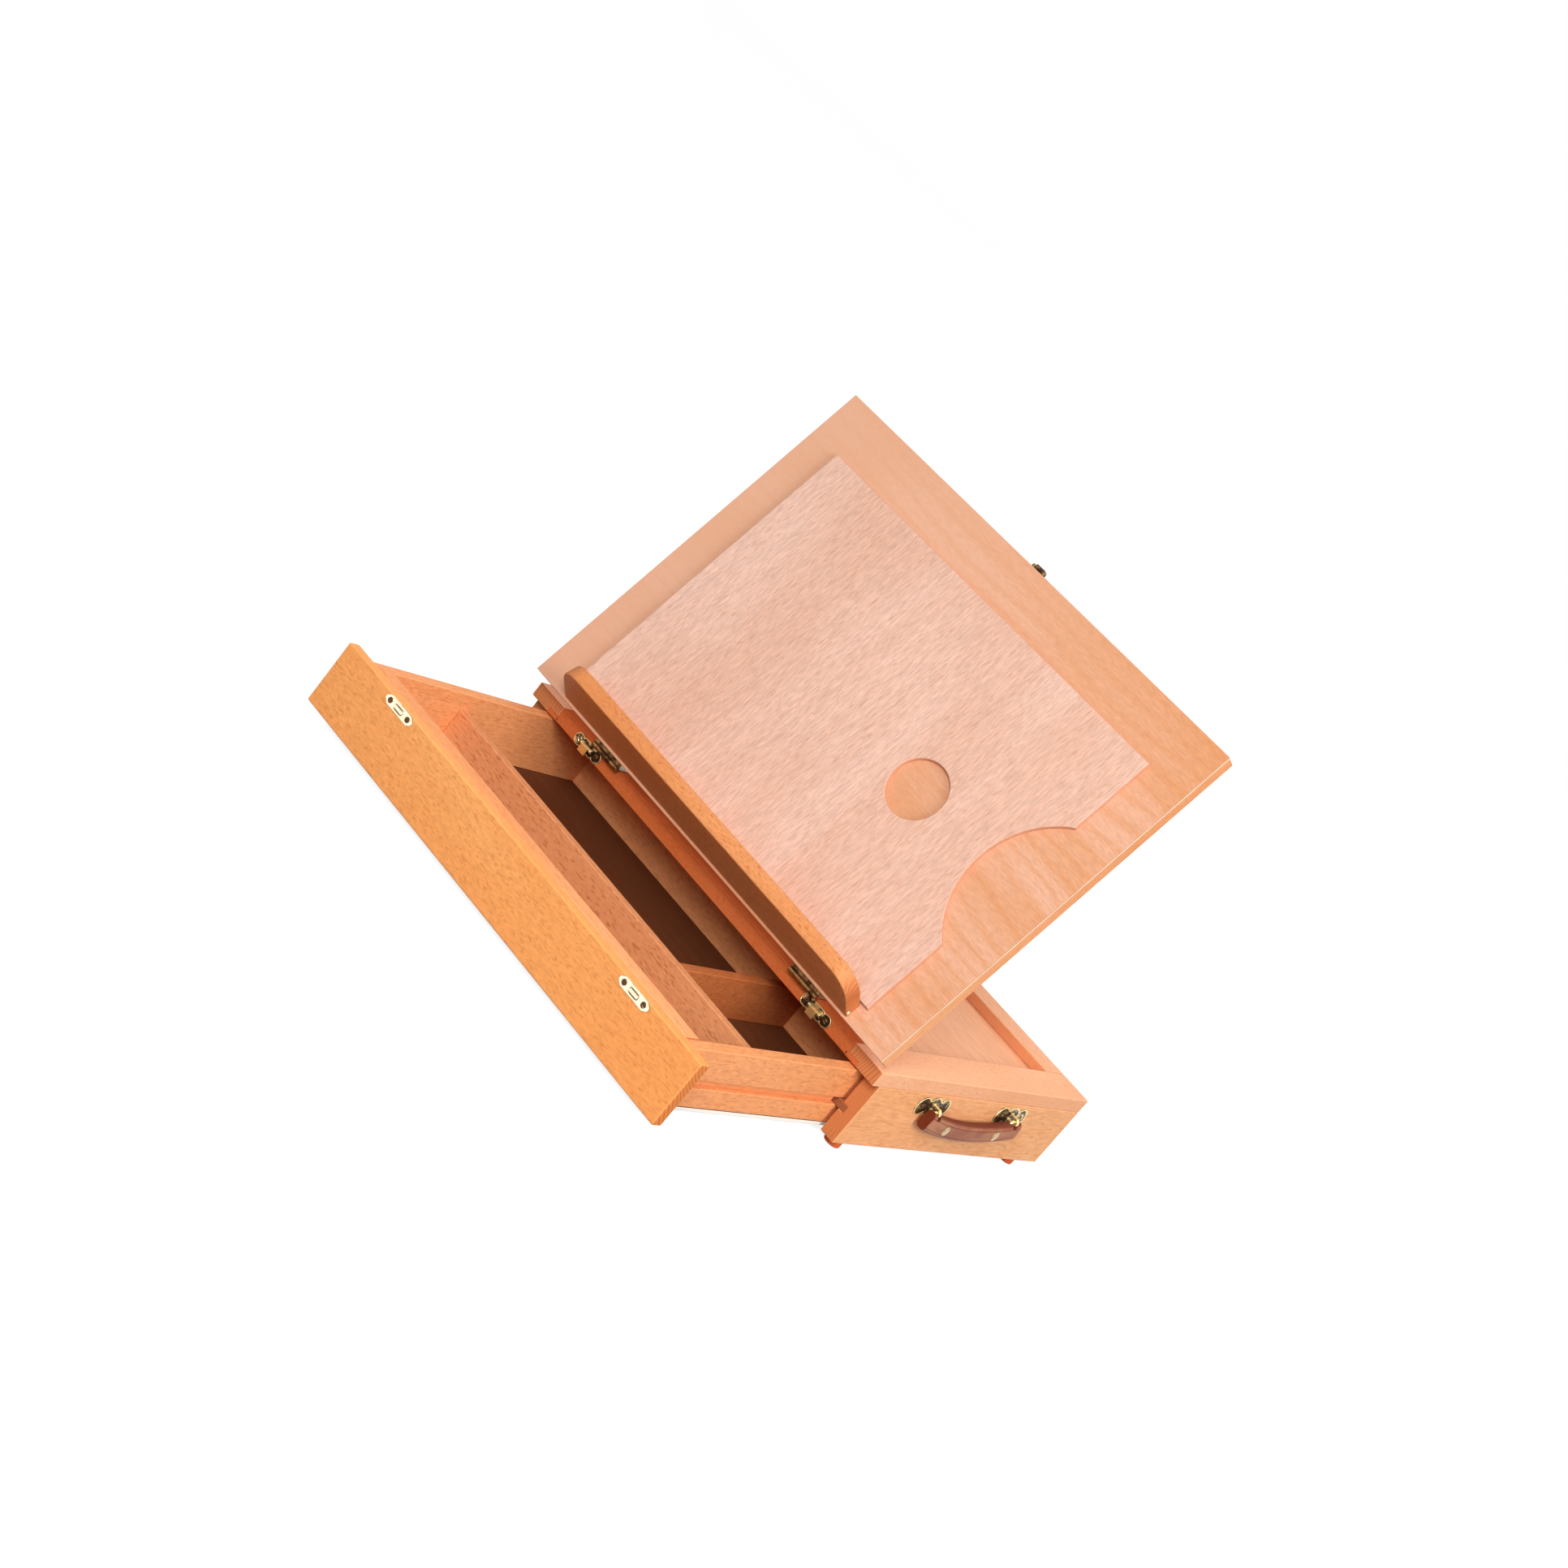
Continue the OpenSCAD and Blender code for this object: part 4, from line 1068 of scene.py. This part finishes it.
claspLeft = makeClasp("clasp_base_left", "clasp_hook_left", "case", "clasp_left", "clasp_left_swing")
claspRight = makeClasp("clasp_base_right", "clasp_hook_right", "case", "clasp_right", "clasp_right_swing")
catchAxes = makeClasp("catch_base", "catch_hook", "panel", "catch", "catch_swing", 180, panelAxes, 0.1,
                      "catch_brass", "catch_brass")


# Keepers: an eight-sided plate with a raised bridge round its bead

keeper = {"thick": 0.8 * mm, "ease": 0.5 * mm, "beadRadius": 1.4 * mm, "beadHalf": 4.5 * mm,
          "bridgeOut": 0.9 * mm, "bridgeTall": 2.6 * mm, "wire": 0.6 * mm, "fieldOut": 0.8 * mm,
          "fieldTall": 2.3 * mm, "fieldRise": 0.15 * mm, "fieldEase": 0.1 * mm, "fieldRub": -0.5,
          "profile": [(0, 0), (0.6, 0), (0.9, 0.12 * mm), (1, 0.35 * mm)]}


def makeKeeper(name, body, facing):
    axes = wallAxes(name, facing)
    high = localBox(name, axes)[1]
    half, tall, thick, length = high[0], high[2], keeper["thick"], keeper["beadHalf"]
    lower = [(-half, -tall / 3), (-half + tall, -tall), (half - tall, -tall), (half, -tall / 3)]
    outline = easedOutline(lower + [(x, -z) for x, z in lower[::-1]], keeper["ease"])
    stations = [(-depth * thick, inset) for depth, inset in keeper["profile"]]
    shells = [loftShell(carriedOutline(outline, 1, stations)),
              easedRod(keeper["beadRadius"], -length, length, 0, (0, -thick, 0), keeper["ease"])]
    # a wire frame round the bead, on a squared oval, catches the light as the pressed bridge does
    t = np.linspace(0, 2 * math.pi, 49)[:-1]
    squared = [np.sign(wave) * np.abs(wave) ** 0.5 for wave in (np.cos(t), np.sin(t))]
    path = np.stack([(length + keeper["bridgeOut"]) * squared[0], np.full_like(t, -thick),
                     keeper["bridgeTall"] * squared[1]], 1)
    shells.append(wireShell(path, keeper["wire"], (0, 1, 0), closed=True, steps=8))
    field = np.array([length + keeper["fieldOut"], 0, keeper["fieldTall"]])
    shells += easedBox((0, -thick - keeper["fieldRise"], 0) - field, (0, -0.5 * thick, 0) + field,
                       keeper["fieldEase"])

    # bright on whatever stands proud, dark on the flat field inside the frame
    def keeperRub(place, normal):
        inField = np.all(np.abs(place[:, [0, 2]]) < field[[0, 2]] + touching, 1)
        inField &= -place[:, 1] < thick + keeper["fieldRise"] + 10 * touching
        return np.where(inField, keeper["fieldRub"], smoothstep(0.5, 1.1, -place[:, 1] / thick))

    makePiece(name, shells, body, "bright_brass", axes, edgeMask=keeperRub)
    return axes


keeperLeft = makeKeeper("keeper_left", "drawer", 0)
keeperRight = makeKeeper("keeper_right", "drawer", 0)
catchKeeper = makeKeeper("catch_keeper", "case", 180)
print("clasps and keepers made")


# Handle brackets: a lobed plate with a wire staple, whose ends stand in two collars

bracket = {"thick": 0.8 * mm, "rim": 1.1 * mm, "screwAt": 14 * mm, "lobe": 8 * mm, "waist": 0.6,
           "wire": 1.0 * mm, "wireFoot": 0.2 * mm, "stapleRub": 0.75,
           "collar": [(0, -0.4 * mm), (1.7 * mm, -0.4 * mm), (1.7 * mm, 0.9 * mm),
                      (1.2 * mm, 1.3 * mm), (0, 1.3 * mm)]}


def makeBracket(name):
    axes = wallAxes(name, 90)
    low, high = localBox(name, axes)
    start, turn = axes
    shells = pressedPlate(lobedOutline(high[0], high[2], bracket), bracket)
    pivotY = ((jointAt("handle_swing") - start) @ turn)[1]
    wire, foot = bracket["wire"], -bracket["wireFoot"]
    reach = pivotY - low[1] - wire
    loop = arcPoints((pivotY, 0), reach, 270, 90, 13)
    path = np.concatenate([[(foot, -reach)], loop, [(foot, reach)]])
    shells.append(wireShell(np.pad(path, ((0, 0), (1, 0))), wire, (1, 0, 0)))
    collar = [turnedShell(bracket["collar"], 2, (0, 0, 0), 16)]
    for side in (-1, 1):
        shells += placed(collar, turnX(90), (0, 0, side * reach))
    makePiece(name, shells, "case", "dark_brass", axes,
              edgeMask=rubbedRim(bracket, 1, bracket["stapleRub"]))
    return axes


bracketFront = makeBracket("bracket_front")
bracketRear = makeBracket("bracket_rear")

makeScrews("case_screws", "case", [(claspLeft, clasp), (claspRight, clasp), (catchKeeper, clasp),
                                   (bracketFront, bracket), (bracketRear, bracket)])
makeScrews("keeper_screws", "drawer", [(keeperLeft, clasp), (keeperRight, clasp)])
makeScrews("panel_screws", "panel", [(catchAxes, clasp)])
print("brackets and screws made")


# Handle rings: a wire loop with round corners through each staple

ring = {"wire": 1.2 * mm, "cornerRadius": 2.2 * mm, "rub": 0.75}
ringNames = ("handle_ring_front", "handle_ring_rear")


def makeRing(name):
    low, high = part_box(name)
    low, high = np.array(low), np.array(high)
    centre, radius = (low + high) / 2, ring["cornerRadius"]
    corner = (high - low)[1:] / 2 - ring["wire"] - radius
    first = arcPoints(corner, radius, 0, 90, 7)
    second = first[::-1] * (-1, 1)
    flat = np.concatenate([first, second, -first, -second])
    path = centre + np.pad(flat, ((0, 0), (1, 0)))
    makePiece(name, [wireShell(path, ring["wire"], (1, 0, 0), closed=True)], "handle", "dark_brass",
              edgeMask=evenMask(ring["rub"]))


for name in ringNames:
    makeRing(name)


# Strap: a crowned band on an arc, with a pressed line along both edges and notches for the staples

strap = {"radius": 300 * mm, "height": 15.5 * mm, "crown": 0.06, "groove": 0.3 * mm, "lineAt": 4.4 * mm,
         "lineHalf": 0.5 * mm, "bevel": 2.2 * mm, "bevelFoot": 0.4 * mm, "ease": 0.5 * mm,
         "endGap": 0.3 * mm, "leastHalf": 0.2 * mm, "notchHalf": 1.9 * mm, "notchSlope": 0.5 * mm,
         "notchClear": 0.8 * mm, "notchBelow": 4.2 * mm}


# Stations along the strap: even ones, close ones at its rounded ends, and two each side of a notch
def strapStations(endY, staples):
    notch, slope, ease = strap["notchHalf"], strap["notchSlope"], strap["ease"]
    y = np.linspace(-endY + 2 * mm, endY - 2 * mm, 45)
    for staple in staples:
        y = y[np.abs(y - staple) > notch + strap["notchClear"]]
        y = np.append(y, staple + np.array([-notch - slope, -notch, notch, notch + slope]))
    ends = endY - ease * (1 - np.cos(np.radians([0, 30, 60, 90])))
    return np.sort(np.concatenate([y, ends, -ends]))


# The cross-section's half: how far across each line lies, and how far it drops below the crown
def strapSection(half, tall):
    line, width, bevel = strap["lineAt"], strap["lineHalf"], strap["bevel"]
    across = np.array([0, 0.5 * line, line - width, line, line + width,
                       tall - bevel - strap["bevelFoot"], tall - bevel, tall - 0.55 * bevel,
                       tall - 0.15 * bevel, tall])
    drop = np.array([0, 0, 0, strap["groove"], 0, 0, *(bevel * np.array([0.08, 0.32, 0.8, 1.0]))])
    across = np.concatenate([-across[:0:-1], across])
    drop = np.concatenate([drop[:0:-1], drop])
    return across, half * (1 - strap["crown"] * (across / tall) ** 2) - drop


def makeStrap():
    low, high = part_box("handle_strap")
    low, high = np.array(low), np.array(high)
    half, centreX, radius = (high[0] - low[0]) / 2, (low[0] + high[0]) / 2, strap["radius"]
    endY, tall, ease = high[1] - strap["endGap"], strap["height"] / 2, strap["ease"]
    hub = low[2] + tall + radius   # centre of the arc, above the strap's lowest line
    staples = [np.mean([box[1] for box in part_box(name)]) for name in ringNames]
    y = strapStations(endY, staples)
    past = np.maximum(np.abs(y) - endY + ease, 0) / ease
    inset = ease * (1 - np.sqrt(np.maximum(1 - past ** 2, 0)))[:, None]
    across, depth = strapSection(half, tall)
    acrossRing = np.concatenate([across, across[::-1]])
    depthRing = np.concatenate([depth, -depth[::-1]])
    distance = radius + acrossRing * (1 - inset / tall)
    depthGrid = np.sign(depthRing) * np.maximum(np.abs(depthRing) - inset, strap["leastHalf"])
    angle = np.arcsin(y / radius)[:, None]
    z = hub - distance * np.cos(angle)
    # a notch lowers the top edge to a level below its staple
    inNotch = np.any([np.abs(y - staple) < strap["notchHalf"] + touching for staple in staples], 0)
    level = jointAt("handle_swing")[2] - strap["notchBelow"]
    z = np.where(inNotch[:, None], np.minimum(z, level), z)
    points = np.stack([centreX + depthGrid, np.clip(distance * np.sin(angle), low[1], high[1]), z], -1)

    def alongStrap(place):
        height = radius - np.hypot(place[:, 1], hub - place[:, 2])
        return np.stack([place[:, 1], height, place[:, 0] - centreX], 1)

    makePiece("handle_strap", [loftShell(points)], "handle", "strap_leather", grain=1,
              grainPoints=alongStrap,
              edgeMask=lambda place, normal: smoothstep(0.12, 0.4, 1 - normal[:, 0]))


makeStrap()


# Small domed heads: the rivets on both faces of the strap, and the pins in the ledge's ends

rivet = {"rise": 0.8 * mm, "steps": 24, "rub": 0.2,
         "profile": [(0, 0), (1, 0), (1, 0.35), (0.85, 0.7), (0.55, 0.93), (0.2, 1), (0, 1)]}
ledgePin = {"steps": 14, "rub": 0.5, "profile": [(0, 0), (1, 0), (0.95, 0.4), (0.6, 0.85), (0, 1)]}


# A head turned round X on each side of a node, its profile in shares of its radius and its rise
def headShells(points, sides, look):
    shells = []
    for side, low, high in sideBoxes(points, sides):
        foot, centre = (low[0], high[0])[::side[0]][0], (low + high) / 2
        rise = side[0] * look.get("rise", high[0] - low[0])
        profile = np.array(look["profile"]) * ((high[1] - low[1]) / 2, rise)
        shells.append(turnedShell(profile, 0, (foot, centre[1], centre[2]), look["steps"]))
    return shells


def makeRivets():
    makePiece("handle_rivets", headShells(nodePoints("handle_rivets"), fourCorners, rivet), "handle",
              "bright_brass", edgeMask=evenMask(rivet["rub"]), finish="rivet_brass")


def makeLedgePins():
    points = (nodePoints("ledge_pins") - panelAxes[0]) @ panelAxes[1]
    makePiece("ledge_pins", headShells(points, [(-1,), (1,)], ledgePin), "panel", "bright_brass",
              panelAxes, edgeMask=evenMask(ledgePin["rub"]))


makeRivets()
print("handle made")
makeLedgePins()


# Nodes whose shape is kept: they only get their finish

keptNodes = {
    "deck_ply": ("deck_board",),
    "frame_wood": ("panel_frame_bottom",),
    "prop_wood": ("prop_block_left", "prop_block_right"),
    "bright_brass": ("case_leaf_left", "case_leaf_right", "panel_leaf_left", "panel_leaf_right",
                     "hinge_pin_left", "hinge_pin_right", "prop_pins"),
}
for slotName, names in keptNodes.items():
    for name in names:
        nodes[name].data.materials.clear()
        nodes[name].data.materials.append(nodeFinishes[slotName])
print("kept nodes finished")


# Floor, light and white surroundings

studio = {"floorSize": 12.0, "floorWhite": 0.86, "floorShade": 0.42, "floorBounce": 0.25,
          "world": 0.3, "lampTarget": (0, -0.1, 0.1)}
lamps = {  # name: direction from the easel, distance, size, power
    "frontLamp": ((0.32, -0.80, 0.51), 3.2, 1.4, 77.0),
    "sideLamp": ((0.85, -0.27, 0.45), 3.0, 1.6, 54.0),
    "topLamp": ((-0.10, 0.55, 0.83), 3.0, 1.4, 27.0),
}


def seenByEye(tree):
    path = addNode(tree, "LightPath").outputs
    return sums(tree, "MAXIMUM", path["Is Camera Ray"],
                sums(tree, "MAXIMUM", path["Is Glossy Ray"], path["Is Transmission Ray"]))


# The floor glows for the eye, and gives back little light to the easel
def makeFloor():
    half = studio["floorSize"] / 2
    mesh = bpy.data.meshes.new("floor")
    mesh.from_pydata([(-half, -half, 0), (half, -half, 0), (half, half, 0), (-half, half, 0)], [],
                     [(0, 1, 2, 3)])
    floor = addObject("floor", mesh)
    material, tree = newMaterial("paleFloor")
    strength = times(tree, seenByEye(tree), studio["floorWhite"])
    glow = addNode(tree, "Emission", {"Color": (1, 1, 1, 1), "Strength": strength})
    shade = ramped(tree, seenByEye(tree), 0.0, 1.0, studio["floorBounce"], studio["floorShade"])
    matt = addNode(tree, "BsdfDiffuse", {"Color": shade})
    both = addNode(tree, "AddShader", {0: glow.outputs[0], 1: matt.outputs[0]})
    addNode(tree, "OutputMaterial", {0: both.outputs[0]})
    mesh.materials.append(material)


def makeWorld():
    world = bpy.data.worlds.new("softSurround")
    bpy.context.scene.world = world
    world.use_nodes = True
    tree = world.node_tree
    tree.nodes.clear()
    strength = addNode(tree, "Mix", {0: seenByEye(tree), 2: studio["world"], 3: 1.0}, data_type="FLOAT")
    background = addNode(tree, "Background", {"Color": (1, 1, 1, 1), "Strength": strength.outputs[0]})
    addNode(tree, "OutputWorld", {0: background.outputs[0]})


# A round lamp that faces the easel from its direction
def makeLamp(name, way, distance, size, power):
    data = bpy.data.lights.new(name, "AREA")
    data.shape = "DISK"
    data.size = size
    data.energy = power
    back = np.array(way) / np.linalg.norm(way)
    right = np.cross((0, 0, 1), back)
    right /= np.linalg.norm(right)
    place = studio["lampTarget"] + distance * back
    setAxes(addObject(name, data), right, np.cross(back, right), back, place)


makeFloor()
makeWorld()
for name, (way, distance, size, power) in lamps.items():
    makeLamp(name, way, distance, size, power)
bpy.context.scene.view_settings.view_transform = "Standard"
print("studio made")
